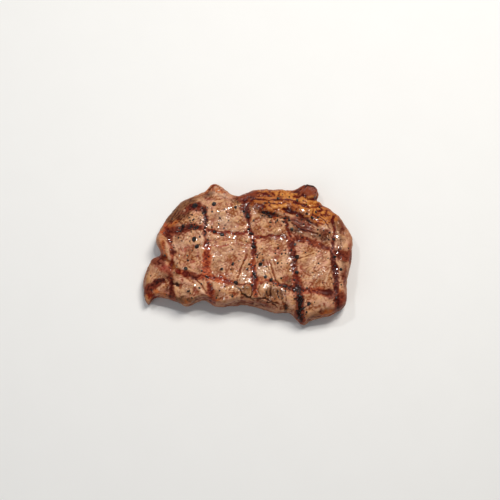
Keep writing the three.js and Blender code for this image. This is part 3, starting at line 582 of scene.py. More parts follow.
def steak_contour():
    """The widest contour, anticlockwise from the toe, and the way in from each of its points."""
    edges = [FRONT_EDGE, RIGHT_EDGE, BACK_EDGE, LEFT_EDGE]
    counts = [TOP_COLUMNS, TOP_ROWS, TOP_COLUMNS, TOP_ROWS]
    spans = smooth_outline(sum(edges, []), OUTLINE_SAMPLES)
    runs = []
    first = 0
    for edge, count in zip(edges, counts):
        own = spans[first:first + len(edge)]
        after = spans[(first + len(edge)) % len(spans)][:1]
        runs.append(evenly(np.concatenate(own + [after]), count))
        first += len(edge)
    contour = np.concatenate(runs)
    spacing = np.linalg.norm(contour - np.roll(contour, -1, axis=0), axis=1).mean()
    jump = round(CAD_SPACING / spacing)
    reach = round((NORMAL_REACH + 0.5) * CAD_SPACING / spacing)
    chord = np.roll(contour, -jump, axis=0) - np.roll(contour, jump, axis=0)
    normal = np.column_stack([-chord[:, 1], chord[:, 0]])
    normal /= np.linalg.norm(normal, axis=1)[:, None]
    way_in = np.zeros_like(normal)
    weights = 0.0
    for n in range(-reach, reach + 1):
        weight = math.cos(math.pi * n / (2 * reach + 2))
        way_in += weight * np.roll(normal, -n, axis=0)
        weights += weight
    return contour, way_in / weights


CONTOUR, WAY_IN = steak_contour()
RIM_COUNT = len(CONTOUR)
FRONT = np.arange(RIM_COUNT) < TOP_COLUMNS


def drawn_in(inset, lip):
    """The contour drawn in by an inset, and by a share of the lip along the front."""
    here = soft_step(LIP_HALF_WIDTH - np.abs(CONTOUR[:, 0] - LIP_CENTRE), LIP_FADE)
    amount = inset + lip * LIP_DEPTH * here * FRONT
    return CONTOUR + WAY_IN * amount[:, None]


def rim_of(columns, rows):
    """The grid's rim as (column, row), anticlockwise from the toe."""
    rim = [(i, 0) for i in range(columns)] + [(columns, j) for j in range(rows)]
    rim += [(i, rows) for i in range(columns, 0, -1)] + [(0, j) for j in range(rows, 0, -1)]
    return np.array(rim)


def widen(plan, columns, rows):
    """A plan grid drawn at twice as many columns and rows."""
    def halfway(grid, count):
        at = np.arange(count + 1) / 2
        low = np.floor(at).astype(int)
        high = np.minimum(low + 1, len(grid) - 1)
        part = (at - low)[:, None, None]
        return grid[low] * (1 - part) + grid[high] * part
    return halfway(halfway(plan, rows).swapaxes(0, 1), columns).swapaxes(0, 1)


def relaxed_plan(outline):
    """Even grid lines inside an outline by Winslow's rule, from coarse to fine."""
    plan = None
    for level, sweeps in ((8, 500), (4, 250), (2, 150), (1, 90)):
        columns, rows = TOP_COLUMNS // level, TOP_ROWS // level
        rim = rim_of(columns, rows)
        held = outline[::level]
        if plan is None:
            plan = np.zeros((rows + 1, columns + 1, 2))
            plan[rim[:, 1], rim[:, 0]] = held
            u = np.linspace(0, 1, columns + 1)[None, :, None]
            v = np.linspace(0, 1, rows + 1)[:, None, None]
            across = plan[:, :1] * (1 - u) + plan[:, -1:] * u
            along = plan[:1] * (1 - v) + plan[-1:] * v
            plan[1:-1, 1:-1] = ((across + along) / 2)[1:-1, 1:-1]
        else:
            plan = widen(plan, columns, rows)
            plan[rim[:, 1], rim[:, 0]] = held
        for _ in range(sweeps):
            east, west = plan[1:-1, 2:], plan[1:-1, :-2]
            north, south = plan[2:, 1:-1], plan[:-2, 1:-1]
            across, along = east - west, north - south
            a = (along**2).sum(axis=2, keepdims=True)
            b = (across**2).sum(axis=2, keepdims=True)
            skew = (across * along).sum(axis=2, keepdims=True) / 2
            corners = plan[2:, 2:] + plan[:-2, :-2] - plan[:-2, 2:] - plan[2:, :-2]
            wanted = (a * (east + west) + b * (north + south) - skew * corners) / (2 * (a + b))
            plan[1:-1, 1:-1] += 0.9 * (wanted - plan[1:-1, 1:-1])
    return plan


# ---------------------------------------------------------------------------
# Surface of the meat
# ---------------------------------------------------------------------------

def mark_fields(x, y):
    """How deep the grill bars pressed, how brown, how rusty and how black the meat is there."""
    flat = level_points(x, y)
    wx = x + 0.7 * ripple(flat, 4.5, 3.1) + 0.4 * ripple(flat, 1.9, 9.7)
    wy = y + 0.7 * ripple(flat, 4.5, 6.2) + 0.4 * ripple(flat, 1.9, 5.4)
    rough = ripples(flat, 3.2, 3, 2.7)
    press, brown, rust, black = (np.zeros_like(x) for _ in range(4))
    for rows in MARKS:
        looks = np.array(rows)
        lengths = np.hypot(*np.diff(looks[:, :2], axis=0).T)
        shares = np.concatenate([[0], np.cumsum(lengths)]) / lengths.sum()
        d, share = path_distance(wx, wy, [tuple(p) for p in looks[:, :2]])
        width, strength, rustiness, blackness = (
            np.interp(share, shares, looks[:, k]) for k in (2, 3, 4, 5)
        )
        deep = np.maximum(strength, 0.4) * bell(d, MARK_HALF_WIDTH * 0.4 + width * 0.65)
        press = np.maximum(press, deep)
        edge = np.clip(d / width + 0.65 * rough, 0, None)
        here = strength * (0.8 * bell(edge, 1.1) + 0.3 * bell(d, width * 1.8 + 0.8))
        rust = np.where(here > brown, rustiness, rust)
        brown = np.maximum(brown, here)
        core = blackness * bell(np.clip(d / width + 0.75 * rough, 0, None), 0.85)
        black = np.maximum(black, core)
    return press, np.clip(brown, 0, 1), rust, np.clip(black * 1.15, 0, 1)


def under_marks(x, y):
    """The same grill bars on the underside, turned over and shifted."""
    return mark_fields(UNDER_SHIFT_X - x, y - UNDER_SHIFT_Y)


def crack_field(x, y, cracks):
    """Depth and darkness of a set of seams or cracks, with uneven edges."""
    flat = level_points(x, y)
    wx = x + 0.5 * ripple(flat, 2.6, 13.1)
    wy = y + 0.5 * ripple(flat, 2.6, 18.2)
    depth = np.zeros_like(x)
    dark = np.zeros_like(x)
    for path, half_width, deep, tone in cracks:
        d, share = path_distance(wx, wy, path)
        ends = smooth(0.0, 0.12, share) * smooth(0.0, 0.12, 1 - share)
        depth += deep * bell(d, half_width)
        dark = np.maximum(dark, tone * bell(d, half_width * 0.8) * (0.35 + 0.65 * ends))
    return depth, dark


def hills(points, size, offset):
    """Rounded lumps with thin creases between them."""
    return 2.6 * np.abs(ripple(points, size, offset)) - 0.62


def fibre_field(x, y):
    """Relief of the meat's fibres, in mm."""
    relief = np.zeros_like(x)
    weights = np.full_like(x, 0.25)
    for k, ((cx, cy), radius, heading, across, height) in enumerate(FIBRES):
        weight = bell(np.hypot(x - cx, y - cy), radius) ** 2
        c, s = math.cos(math.radians(heading)), math.sin(math.radians(heading))
        turned = level_points(x * c + y * s, y * c - x * s)
        turned[:, 1] += 1.4 * ripple(turned, 8.0, 4.0 + k)
        line = hills(turned, (across * 3.2, across * 0.85, 1.0), 11.0 + 3 * k)
        fine = ripple(turned, (across * 3.5, across * 0.6, 1.0), 31.0 + 3 * k)
        relief += weight * height * (0.8 * line + 0.3 * fine)
        weights += weight
    return relief / weights


def fold_field(x, y):
    """Worm-like folds of the meat, deepest where the skin dried on the right-hand panels."""
    flat = level_points(x, y)
    warped = flat.copy()
    warped[:, 0] += 2.2 * ripple(flat, 6.5, 51.0)
    warped[:, 1] += 2.2 * ripple(flat, 6.5, 57.0)
    where = np.maximum(
        bell(np.hypot((x - 45) / 1.1, y + 12), 13),
        0.7 * bell(np.hypot(x - 42, y - 3), 8),
    )
    where = np.maximum(where, 0.6 * bell(np.hypot(x + 36, y + 26), 9))
    where = np.maximum(where, 0.6 * bell(np.hypot(x - 18, y - 20), 8))
    return hills(warped, (3.6, 2.7, 1.0), 61.0) * (0.45 + 0.55 * where)


def wrinkle_field(x, y):
    """Thin winding creases over the whole top, from 0 to 1."""
    flat = level_points(x, y)
    warped = flat.copy()
    warped[:, 0] += 1.3 * ripple(flat, 4.0, 201.0)
    warped[:, 1] += 1.3 * ripple(flat, 4.0, 205.0)
    long = bell(ripple(warped, (5.0, 3.6, 1.0), 211.0), 0.16)
    long *= smooth(-0.35, 0.3, ripple(flat, 7.0, 217.0))
    short = bell(ripple(warped, (2.7, 2.2, 1.0), 223.0), 0.24)
    short *= smooth(-0.1, 0.5, ripple(flat, 5.0, 229.0))
    return np.maximum(long, 0.8 * short)


def top_height(x, y):
    """Height of the top over the plan: the solid's form, with uneven marks and seams."""
    z = np.full(x.shape, THICKNESS)
    for (px, py), (dx, dy), grade in SLOPES:
        d = (x - px) * dx + (y - py) * dy
        z -= grade * SLOPE_ROUNDING * np.logaddexp(0, d / SLOPE_ROUNDING)
    d = (x - FLAP_AT[0]) * FLAP_TOWARD[0] + (y - FLAP_AT[1]) * FLAP_TOWARD[1]
    z -= FLAP_DROP * soft_step(d, FLAP_FADE) * soft_step(FLAP_BACK - y, FLAP_FADE)
    for (cx, cy), radius, height in LUMPS:
        z += height * bell(np.hypot(x - cx, y - cy), radius)
    z -= crack_field(x, y, SEAMS)[0]
    z -= MARK_DEPTH * mark_fields(x, y)[0]
    for length, heading, phase, height in WAVES:
        c, s = math.cos(math.radians(heading)), math.sin(math.radians(heading))
        z += height * np.sin(2 * math.pi * (x * c + y * s) / length + phase)
    return z


def wall_level(step):
    """Height share, inset and lip share at a step from 0, the rim, to 1, the foot."""
    at = step * (len(WALL) - 1)
    k = min(int(at), len(WALL) - 2)
    t = at - k
    p0, p1, p2, p3 = (WALL[min(max(k + n, 0), len(WALL) - 1)] for n in (-1, 0, 1, 2))
    level = 0.5 * (
        2 * p1 + (p2 - p0) * t + (2 * p0 - 5 * p1 + 4 * p2 - p3) * t**2
        + (3 * p1 - 3 * p2 + p3 - p0) * t**3
    )
    level[0] = min(max(level[0], 0.0), 1.0)
    return level


def grid_faces(columns, rows, first=0, flip=False):
    """Four-sided faces of a grid whose points are counted row by row."""
    i, j = np.meshgrid(np.arange(columns), np.arange(rows))
    a = first + (j * (columns + 1) + i).ravel()
    quad = np.column_stack([a, a + 1, a + columns + 2, a + columns + 1])
    return quad[:, ::-1] if flip else quad


def vertex_normals(points, quads, triangles):
    """Unit normals of the points of a mesh."""
    normals = np.zeros_like(points)
    faces = [(quads[:, 0], quads[:, 1], quads[:, 2]), (quads[:, 0], quads[:, 2], quads[:, 3])]
    faces.append((triangles[:, 0], triangles[:, 1], triangles[:, 2]))
    for a, b, c in faces:
        cross = np.cross(points[b] - points[a], points[c] - points[a])
        for corner in (a, b, c):
            np.add.at(normals, corner, cross)
    return normals / np.maximum(np.linalg.norm(normals, axis=1), 1e-9)[:, None]


def meat_body(plan):
    """Points, faces, wall steps and the under mask of the meat, before its fine relief."""
    flat = plan.reshape(-1, 2)
    top = np.column_stack([flat, top_height(flat[:, 0], flat[:, 1])])
    quads = [grid_faces(TOP_COLUMNS, TOP_ROWS)]
    rim = rim_of(TOP_COLUMNS, TOP_ROWS)
    above = rim[:, 1] * (TOP_COLUMNS + 1) + rim[:, 0]
    rim_height = top[above, 2]
    turn = 2 * math.pi * np.arange(RIM_COUNT) / RIM_COUNT
    points = [top]
    steps = [np.zeros(len(top))]
    count = len(top)
    for n in range(1, WALL_RINGS + 1):
        height, inset, lip = wall_level(n / WALL_RINGS)
        layers = np.sin(7 * turn + 8 * height) + 0.6 * np.sin(13 * turn - 11 * height)
        bulge = 0.7 * layers * height * (1 - height) * 2
        ring = drawn_in(inset - bulge, lip)
        points.append(np.column_stack([ring, height * rim_height]))
        steps.append(np.full(RIM_COUNT, n / WALL_RINGS))
        here = count + np.arange(RIM_COUNT)
        quads.append(np.column_stack([here, np.roll(here, -1), np.roll(above, -1), above]))
        above = here
        count += RIM_COUNT

    # The underside is a coarser grid, joined to the foot by three triangles for two of its steps.
    columns, rows = TOP_COLUMNS // 2, TOP_ROWS // 2
    foot = points[-1][:, :2]
    foot_inner = foot + 0.8 * WAY_IN
    under = relaxed_plan(foot_inner)[::2, ::2]
    under_flat = under.reshape(-1, 2)
    points.append(np.column_stack([under_flat, np.zeros(len(under_flat))]))
    steps.append(np.full(len(under_flat), 1.0))
    quads.append(grid_faces(columns, rows, count, flip=True))
    small = rim_of(columns, rows)
    inner = count + small[:, 1] * (columns + 1) + small[:, 0]
    inner_next = np.roll(inner, -1)
    first, middle, last = above[0::2], above[1::2], np.roll(above[0::2], -1)
    triangles = np.concatenate([
        np.column_stack([first, inner, middle]),
        np.column_stack([inner, inner_next, middle]),
        np.column_stack([inner_next, last, middle]),
    ])
    is_under = np.zeros(count + len(under_flat))
    is_under[count:] = 1
    return np.concatenate(points), np.concatenate(quads), triangles, np.concatenate(steps), is_under


def cap_share(x, y):
    """How much a place of the plan is fat cap."""
    flat = level_points(x, y)
    edge = np.interp(x, CAP_LINE_X, CAP_LINE_Y) + 1.2 * ripple(flat, 4.5, 71.0)
    return smooth(-1.0, 1.6, y - edge) * smooth(-15, -5, x + 0.5 * (y - 38)) * smooth(67, 58, x)


RIM_STRIDE = 3  # every third point of the contour is near enough


def rim_distance(x, y):
    """How far each place is from the widest contour."""
    nearest = np.full(x.shape, np.inf)
    for first in range(0, RIM_COUNT, RIM_STRIDE):
        cx, cy = CONTOUR[first]
        nearest = np.minimum(nearest, (x - cx) ** 2 + (y - cy) ** 2)
    return np.sqrt(nearest)


def meat_relief(points, step, under, marks):
    """How far the finished surface stands out, in mm, then the layers, cracks and creases."""
    x, y = points[:, 0], points[:, 1]
    side = smooth(0.06, 0.3, step) * (1 - under)
    on_top = (1 - smooth(0.0, 0.5, step)) * (1 - under)
    fine_depth, fine_dark = crack_field(x, y, FINE_CRACKS)
    fibre = fibre_field(x, y)
    fold = fold_field(x, y)
    lumps = ripples(points, 5.2, 2, 81.0)
    pores = ripples(points, 1.9, 2, 91.0)
    grit = ripple(points, 1.0, 95.0)
    crust = ripples(points, 1.9, 3, 111.0)
    wrinkles = wrinkle_field(x, y)
    black = marks[3]

    # Around the wall, the fibres lie in long level layers that pinch in and out.
    layer = ripple(points, (11.0, 11.0, 2.3), 101.0)
    cap = cap_share(x, y)
    soft = hills(points, (5.5, 3.6, 4.0), 131.0)
    layer_fine = ripple(points, (6.0, 6.0, 0.95), 107.0)
    layers = 0.7 * (0.5 - 1.6 * np.abs(layer)) + 0.5 * layer_fine
    knob = bell(np.hypot(x - KNOB_AT[0], y - KNOB_AT[1]), KNOB_RADIUS) ** 2
    knobbly = 0.8 * hills(points, (2.4, 2.4, 2.4), 121.0) + 0.5 * ripple(points, 5.0, 125.0)
    relief = on_top * (
        0.7 * fibre * (1 - 0.5 * black) + 0.17 * fold + 0.09 * pores + 0.05 * grit + 0.17 * lumps
        - fine_depth - 0.16 * (1 - 0.6 * cap) * wrinkles + black * 0.25 * crust
        + cap * (0.26 * soft - 0.2 * fibre + 0.1 * pores)
    )
    relief += side * (0.28 * layers + 0.45 * lumps + 0.2 * pores)
    relief += knob * knobbly
    return relief, layers, fine_dark, wrinkles


def ragged(points):
    """Places of the plan shifted unevenly, so that no blotch has a smooth edge."""
    flat = points * (1, 1, 0)
    x = points[:, 0] + 1.3 * ripple(flat, 6.0, 141.0) + 0.6 * ripple(flat, 2.0, 147.0)
    y = points[:, 1] + 1.3 * ripple(flat, 6.0, 153.0) + 0.6 * ripple(flat, 2.0, 159.0)
    return x, y


def meat_masks(points, step, under, marks, layers, fine_dark, wrinkles):
    """Every mask that the finish of the meat is painted with."""
    x, y = points[:, 0], points[:, 1]
    side = smooth(0.2, 0.6, step) * (1 - under)
    on_top = (1 - smooth(0.1, 0.6, step)) * (1 - under)
    _, brown, rusty, black = marks
    wx, wy = ragged(points)
    seam_dark = crack_field(x, y, SEAMS)[1]
    reach = on_top + 0.8 * side
    under_brown, under_rusty, under_black = under_marks(x, y)[1:]
    down_the_wall = side * smooth(0.75, 0.12, step)
    burn = brown * (on_top + 0.6 * down_the_wall) + under * under_brown
    char = black * (on_top + 0.7 * down_the_wall) + under * 0.8 * under_black
    char = np.maximum(char, blotches(wx, wy, BLACKENED) * reach)
    rim = bell(rim_distance(x, y), 4.2) * on_top
    return {
        "burn": np.clip(burn, 0, 1),
        "rusty": np.where(under > 0.5, under_rusty, rusty),
        "char": np.clip(char, 0, 1),
        # crevice: the darkness of seams and cracks, their own brown and painted shade in their
        # grooves.
        "crevice": np.clip(np.maximum(seam_dark * (on_top + 0.4 * side), fine_dark * on_top), 0, 1),
        "rim": rim,
        **{name: blotches(wx, wy, places) * reach for name, places in PATCHES.items()},
        "blush": np.maximum(blotches(wx, wy, BLUSHING), strokes(x, y, RED_LINES)) * reach,
        "wet": blotches(wx, wy, GREASY) * on_top,
        "wrinkle": wrinkles * on_top,
        # pale: pale fat, and painted sheen on greasy patches.
        "pale": np.maximum(blotches(wx, wy, PALE), strokes(x, y, PALE_LINES)) * on_top,
        "cap": np.clip(cap_share(x, y) * (1 - under), 0, 1),
        "side": side,
        "layers": np.clip(0.5 + 0.5 * layers, 0, 1) * side + 0.5 * (1 - side),
        "middle": side * bell((step - 0.55) / 0.2 + 0.6 * ripple(points, 9.0, 181.0), 1.0),
        "under": under,
    }


def smoothed(points, links, sweeps):
    """Each point drawn towards its neighbours, this many times."""
    first, second = links
    count = np.bincount(first, minlength=len(points))
    for _ in range(sweeps):
        total = np.column_stack([
            np.bincount(first, points[second, axis], len(points)) for axis in range(3)
        ])
        points = 0.3 * points + 0.7 * total / count[:, None]
    return points


def neighbour_links(quads, triangles):
    """Both ends of every edge of every face, each edge both ways."""
    pairs = [quads[:, (k, (k + 1) % 4)] for k in range(4)]
    pairs += [triangles[:, (k, (k + 1) % 3)] for k in range(3)]
    pairs = np.concatenate(pairs)
    both = np.concatenate([pairs, pairs[:, ::-1]])
    return both[:, 0], both[:, 1]


def standing_out(points, normals, links):
    """How ridge-like each place is, from fine relief and from broad: above zero on ridges."""
    fine = ((points - smoothed(points, links, 7)) * normals).sum(axis=1)
    broad = ((points - smoothed(points, links, 60)) * normals).sum(axis=1)
    return fine, broad


def to_scene(points):
    """Plan millimetres to metres about the middle of the steak."""
    moved = points.copy()
    moved[:, :2] -= PLAN_MIDDLE
    return moved * MM


NO_QUADS = np.zeros((0, 4), int)


def new_mesh(name, points, quads, triangles, fields):
    """A mesh object in the scene, with a number for each point in every field."""
    mesh = bpy.data.meshes.new(name)
    faces = [tuple(f) for f in quads.tolist()] + [tuple(f) for f in triangles.tolist()]
    mesh.from_pydata(points.tolist(), [], faces)
    mesh.validate()
    for field, values in fields.items():
        attribute = mesh.attributes.new(field, "FLOAT", "POINT")
        attribute.data.foreach_set("value", np.ascontiguousarray(values, dtype=np.float32))
    mesh.update()
    piece = bpy.data.objects.new(name, mesh)
    bpy.context.scene.collection.objects.link(piece)
    return piece


def make_meat(plan):
    points, quads, triangles, step, under = meat_body(plan)
    normals = vertex_normals(points, quads, triangles)
    marks = mark_fields(points[:, 0], points[:, 1])
    relief, layers, fine_dark, wrinkles = meat_relief(points, step, under, marks)
    masks = meat_masks(points, step, under, marks, layers, fine_dark, wrinkles)
    under_press = under_marks(points[:, 0], points[:, 1])[0]
    hollow = under * (0.45 * under_press + 0.25 * np.abs(ripples(points, 2.4, 3, 171.0)))
    fade = 1 - smooth(0.86, 1.0, step)
    points = points + normals * (relief * fade)[:, None]
    points[:, 2] = np.maximum(points[:, 2], 0) + hollow
    fine, broad = standing_out(
        points, vertex_normals(points, quads, triangles), neighbour_links(quads, triangles)
    )
    # ridge: above one half on ridges, below it in creases; the finish paints light on the ridges
    # and shade in the creases with it.
    masks["ridge"] = np.clip(0.5 + 4.2 * fine + 0.35 * broad, 0, 1)
    # hollow: how deep a place lies in a broad hollow; the finish paints shade into the hollows with
    # it.
    masks["hollow"] = np.clip(-1.0 * broad - 0.08, 0, 1)
    piece = new_mesh("steak_meat", to_scene(points), quads, triangles, masks)
    piece.data.shade_smooth()
    return piece


# ---------------------------------------------------------------------------
# Pepper and melted fat
# ---------------------------------------------------------------------------

LARGE_GRAINS = [
    (-36.1, 31.7, 1.7), (-43.9, 17.1, 1.3), (-36.1, 7.5, 1.6), (-34.4, 2.7, 1.4),
    (-23.2, 32.2, 1.4), (-17.8, 11.2, 1.5), (-22.8, 13.3, 1.4), (-34.2, 16.3, 1.2),
    (-8.3, -21.6, 1.6), (3.7, 2.7, 1.5), (2.0, 12.2, 1.5), (-0.3, 23.9, 1.6), (15.0, -19.5, 1.3),
    (24.2, -23.6, 1.4), (7.7, -8.8, 1.4), (40.2, -35.4, 1.3), (-41.7, -11.5, 1.1),
    (-27.6, -17.6, 1.3), (-10.3, -8.8, 1.2), (-17.7, -12.2, 1.1), (32.4, -4.0, 1.4),
    (42.7, 22.8, 1.0), (46.7, 22.9, 1.0), (10.4, 26.6, 1.2), (32.6, 23.9, 1.1), (13.8, 23.9, 1.2),
]
MIDDLE_GRAINS = [
    (-24.5, 26.8, 0.7), (-36.7, 21.6, 0.7), (-36.2, 18.3, 0.7), (-45.7, 13.5, 0.8),
    (-36.5, 14.7, 0.8), (-38.0, 16.7, 0.8), (-29.1, 15.6, 0.9), (-29.2, 13.3, 0.8),
    (-24.7, 16.2, 0.7), (-51.4, 6.5, 0.8), (-32.6, 9.5, 0.9), (-35.2, 27.7, 0.7),
    (-16.1, 28.4, 0.7), (-8.8, 29.9, 1.1), (-3.2, 26.7, 1.0), (-19.1, 22.6, 0.8),
    (-16.6, 15.8, 0.8), (-9.3, 11.9, 0.7), (0.0, 14.9, 1.0), (19.8, 2.1, 0.9), (14.5, 19.7, 0.7),
    (24.5, 22.4, 1.1), (27.3, 21.2, 1.0), (19.6, 24.1, 0.8), (16.5, 25.7, 0.8), (13.7, 32.9, 0.7),
    (11.1, 32.9, 0.7), (20.0, 36.4, 1.0), (27.5, 37.5, 0.8), (32.9, 34.9, 1.0), (38.9, 32.1, 0.7),
    (48.0, 31.1, 0.8), (45.3, 26.7, 1.0), (39.2, 25.2, 0.9), (35.8, 21.3, 0.8), (37.1, 18.1, 0.8),
    (46.4, 14.3, 0.7), (47.9, 10.7, 0.8), (54.4, 12.8, 0.8), (57.1, 8.3, 1.0), (53.7, 7.8, 0.7),
    (29.1, 14.8, 1.1), (31.1, 4.6, 1.0), (-56.0, -2.4, 0.8), (-40.3, -6.3, 0.9),
    (-31.0, -13.6, 0.8), (-31.3, -22.1, 0.7), (-39.9, -26.9, 1.0), (-37.6, -31.4, 0.8),
    (-32.7, -25.0, 0.9), (-2.5, -6.3, 0.7), (0.4, -8.8, 0.8), (-0.7, -12.2, 0.8), (3.4, -14.9, 1.1),
    (4.6, -17.5, 0.9), (9.8, -6.3, 0.8), (11.9, -10.3, 0.7), (11.3, -17.5, 1.1), (17.7, -19.5, 0.7),
    (21.8, -18.3, 0.9), (19.4, -8.2, 0.9), (22.3, -1.9, 0.8), (17.9, -1.7, 0.8), (20.7, -23.4, 0.9),
    (24.5, -27.1, 0.9), (18.3, -22.0, 0.7), (-10.8, -30.5, 0.8), (19.9, -30.9, 0.7),
    (2.3, -22.9, 0.9), (46.7, -8.6, 0.7), (61.6, -12.5, 1.0), (61.6, -22.6, 0.7),
    (57.9, -10.0, 0.8), (57.7, -4.0, 1.0), (32.2, -14.1, 1.1), (38.8, -25.0, 0.8),
    (38.6, -40.5, 0.9), (58.0, -31.6, 0.9), (34.1, -30.4, 1.0), (34.9, -34.9, 1.1),
    (35.5, -38.4, 0.9), (5.7, -4.4, 0.8), (3.2, 7.2, 0.9), (28.8, 0.8, 0.8), (30.4, -19.4, 0.8),
    (-27.2, 7.6, 0.7),
]
SMALL_GRAINS = [
    (-38.7, 19.4, 0.6), (-39.7, 9.4, 0.5), (-39.0, 6.5, 0.5), (-40.3, 23.4, 0.5),
    (-37.6, 24.7, 0.6), (-14.8, 26.7, 0.6), (-5.2, 31.1, 0.6), (-7.4, 33.6, 0.5), (-4.4, 23.3, 0.5),
    (-20.0, 18.8, 0.6), (23.8, 0.5, 0.6), (14.6, 16.7, 0.6), (18.3, 19.9, 0.6), (23.5, 19.4, 0.6),
    (9.3, 24.1, 0.6), (20.7, 38.8, 0.5), (36.8, 34.5, 0.6), (35.1, 10.4, 0.6), (42.1, 4.2, 0.5),
    (67.2, 2.5, 0.6), (-40.9, -3.1, 0.6), (-47.3, -7.9, 0.5), (-22.8, -17.7, 0.6),
    (-40.6, -32.5, 0.5), (-21.3, -31.4, 0.6), (-51.3, -17.9, 0.5), (-11.7, -12.3, 0.6),
    (22.2, -8.4, 0.5), (-19.2, -26.8, 0.6), (11.8, -27.6, 0.5), (17.4, -32.3, 0.6),
    (22.5, -31.9, 0.6), (14.8, -30.2, 0.6), (52.9, -5.1, 0.5), (55.3, -18.7, 0.6),
    (43.9, -34.3, 0.5), (-49.9, 2.6, 0.6), (-47.0, 8.6, 0.5), (-13.5, 20.9, 0.5),
    (-28.1, -5.4, 0.5), (8.1, 15.4, 0.5), (42.8, -14.8, 0.5), (49.2, -21.5, 0.5),
    (-15.9, -24.1, 0.6),
]
GOLDEN = (0.754877666, 0.569840291, 0.618033989, 0.414213562)
# Bands where fine crumbs gathered: path, spread, how many, smallest and largest radius.
CRUMB_BANDS = [
    ([(-29.3, 31.4), (-28.6, 15.0)], 1.5, 46, 0.2, 0.75),
    ([(-28.6, 15.0), (-26.5, -21.9)], 1.6, 18, 0.2, 0.6),
    ([(0.0, 32.2), (3.1, 0.7), (5.0, -28.8)], 1.8, 74, 0.2, 0.8),
    ([(8.9, 25.1), (16.8, 23.1), (25.7, 20.1)], 2.0, 44, 0.25, 0.8),
    ([(25.7, 20.1), (35.6, 15.0)], 3.0, 18, 0.2, 0.6),
    ([(33.8, -27.8), (35.8, -44.1)], 1.6, 70, 0.25, 0.8),
    ([(11.8, -22.9), (31.4, -25.9)], 1.4, 30, 0.2, 0.7),
    ([(-51.4, 16.1), (-32.6, 16.0)], 2.2, 26, 0.2, 0.8),
    ([(-43.4, 10.0), (-35.8, 31.8)], 5.0, 34, 0.2, 0.7),
    ([(27.7, 10.0), (32.4, -21.9)], 2.4, 26, 0.2, 0.6),
    ([(55.2, -0.0), (58.8, -35.5)], 1.8, 18, 0.2, 0.6),
    ([(-5.9, -28.8), (13.7, -31.7)], 2.0, 24, 0.2, 0.6),
]
LOOSE_CRUMBS = 330


def share_of(i, k):
    """A share from 0 to 1 that spreads evenly as i counts up."""
    return (0.5 + (i + 1) * GOLDEN[k]) % 1


def plan_point(plan, u, v):
    """The point of a plan grid at a share of its columns and of its rows."""
    rows, columns = plan.shape[0] - 1, plan.shape[1] - 1
    i, j = int(u * columns), int(v * rows)
    s, t = u * columns - i, v * rows - j
    low = plan[j, i] * (1 - s) + plan[j, i + 1] * s
    high = plan[j + 1, i] * (1 - s) + plan[j + 1, i + 1] * s
    return low * (1 - t) + high * t


def grain_places(plan, draw):
    """Where every grain lies: x, y, radius. The large and middle ones are those of the solid."""
    places = [list(grain) for grain in LARGE_GRAINS + MIDDLE_GRAINS + SMALL_GRAINS]
    for path, spread, count, smallest, largest in CRUMB_BANDS:
        lengths = [math.dist(a, b) for a, b in zip(path, path[1:])]
        walked = np.concatenate([[0], np.cumsum(lengths)])
        at = draw.uniform(0, walked[-1], count)
        x = np.interp(at, walked, [p[0] for p in path]) + draw.normal(0, spread, count)
        y = np.interp(at, walked, [p[1] for p in path]) + draw.normal(0, spread, count)
        radius = smallest + (largest - smallest) * draw.uniform(0, 1, count) ** 2
        places += np.column_stack([x, y, radius]).tolist()
    for i in range(LOOSE_CRUMBS):
        u, v = 0.02 + 0.96 * share_of(i, 2), 0.02 + 0.96 * share_of(i, 3)
        x, y = plan_point(plan, u, v) + draw.normal(0, 1.5, 2)
        places.append([x, y, 0.17 + 0.42 * draw.uniform() ** 2.2])
    return np.array(places)


def icosphere(subdivisions):
    """Points and triangles of a round ball built from an icosahedron."""
    bm = bmesh.new()
    bmesh.ops.create_icosphere(bm, subdivisions=subdivisions, radius=1.0)
    bm.verts.ensure_lookup_table()
    points = np.array([v.co[:] for v in bm.verts])
    triangles = np.array([[v.index for v in f.verts] for f in bm.faces])
    bm.free()
    return points, triangles


def spin(angles):
    """A turn about X, then Y, then Z, as a matrix."""
    (ca, cb, cc), (sa, sb, sc) = np.cos(angles), np.sin(angles)
    about_x = np.array([[1, 0, 0], [0, ca, -sa], [0, sa, ca]])
    about_y = np.array([[cb, 0, sb], [0, 1, 0], [-sb, 0, cb]])
    about_z = np.array([[cc, -sc, 0], [sc, cc, 0], [0, 0, 1]])
    return about_z @ about_y @ about_x


def make_pepper(plan, surface):
    """Cracked grains: split, angular pieces, the larger ones with more corners."""
    draw = np.random.default_rng(PEPPER_SEED)
    places = grain_places(plan, draw)
    height = surface(places[:, 0], places[:, 1])
    balls = {1: icosphere(1), 2: icosphere(2)}
    points, triangles, tones = [], [], []
    count = 0
    for (x, y, radius), z in zip(places, height):
        if not math.isfinite(z):
            continue
        ball, faces = balls[2 if radius > 0.9 else 1]
        shape = ball * (1 + draw.uniform(-0.16, 0.16, (len(ball), 1)))
        for _ in range(2 if radius > 0.5 else 1):
            way = draw.normal(size=3)
            way /= np.linalg.norm(way)
            reach = draw.uniform(0.35, 0.75)
            beyond = np.maximum(shape @ way - reach, 0)
            shape = shape - 0.85 * beyond[:, None] * way
        shape = shape * np.array([1.0, draw.uniform(0.62, 1.0), draw.uniform(0.55, 0.85)])
        shape = shape @ spin(draw.uniform(-0.5, 0.5, 3) * (1, 1, 2 * math.pi)).T
        points.append(shape * radius * 1.15 + (x, y, z + 0.18 * radius))
        triangles.append(faces + count)
        tones.append(np.full(len(ball), draw.uniform()))
        count += len(ball)
    points = np.concatenate(points)
    points[:, 2] = np.maximum(points[:, 2], 0.02)
    piece = new_mesh(
        "pepper_cracked", to_scene(points), NO_QUADS, np.concatenate(triangles),
        {"tone": np.concatenate(tones)},
    )
    piece.data.shade_flat()
    return piece


RAY_START = 0.1  # metres above the floor, well clear of the meat
LOWEST_LANDING = 0.004  # metres: below this a place is off the top


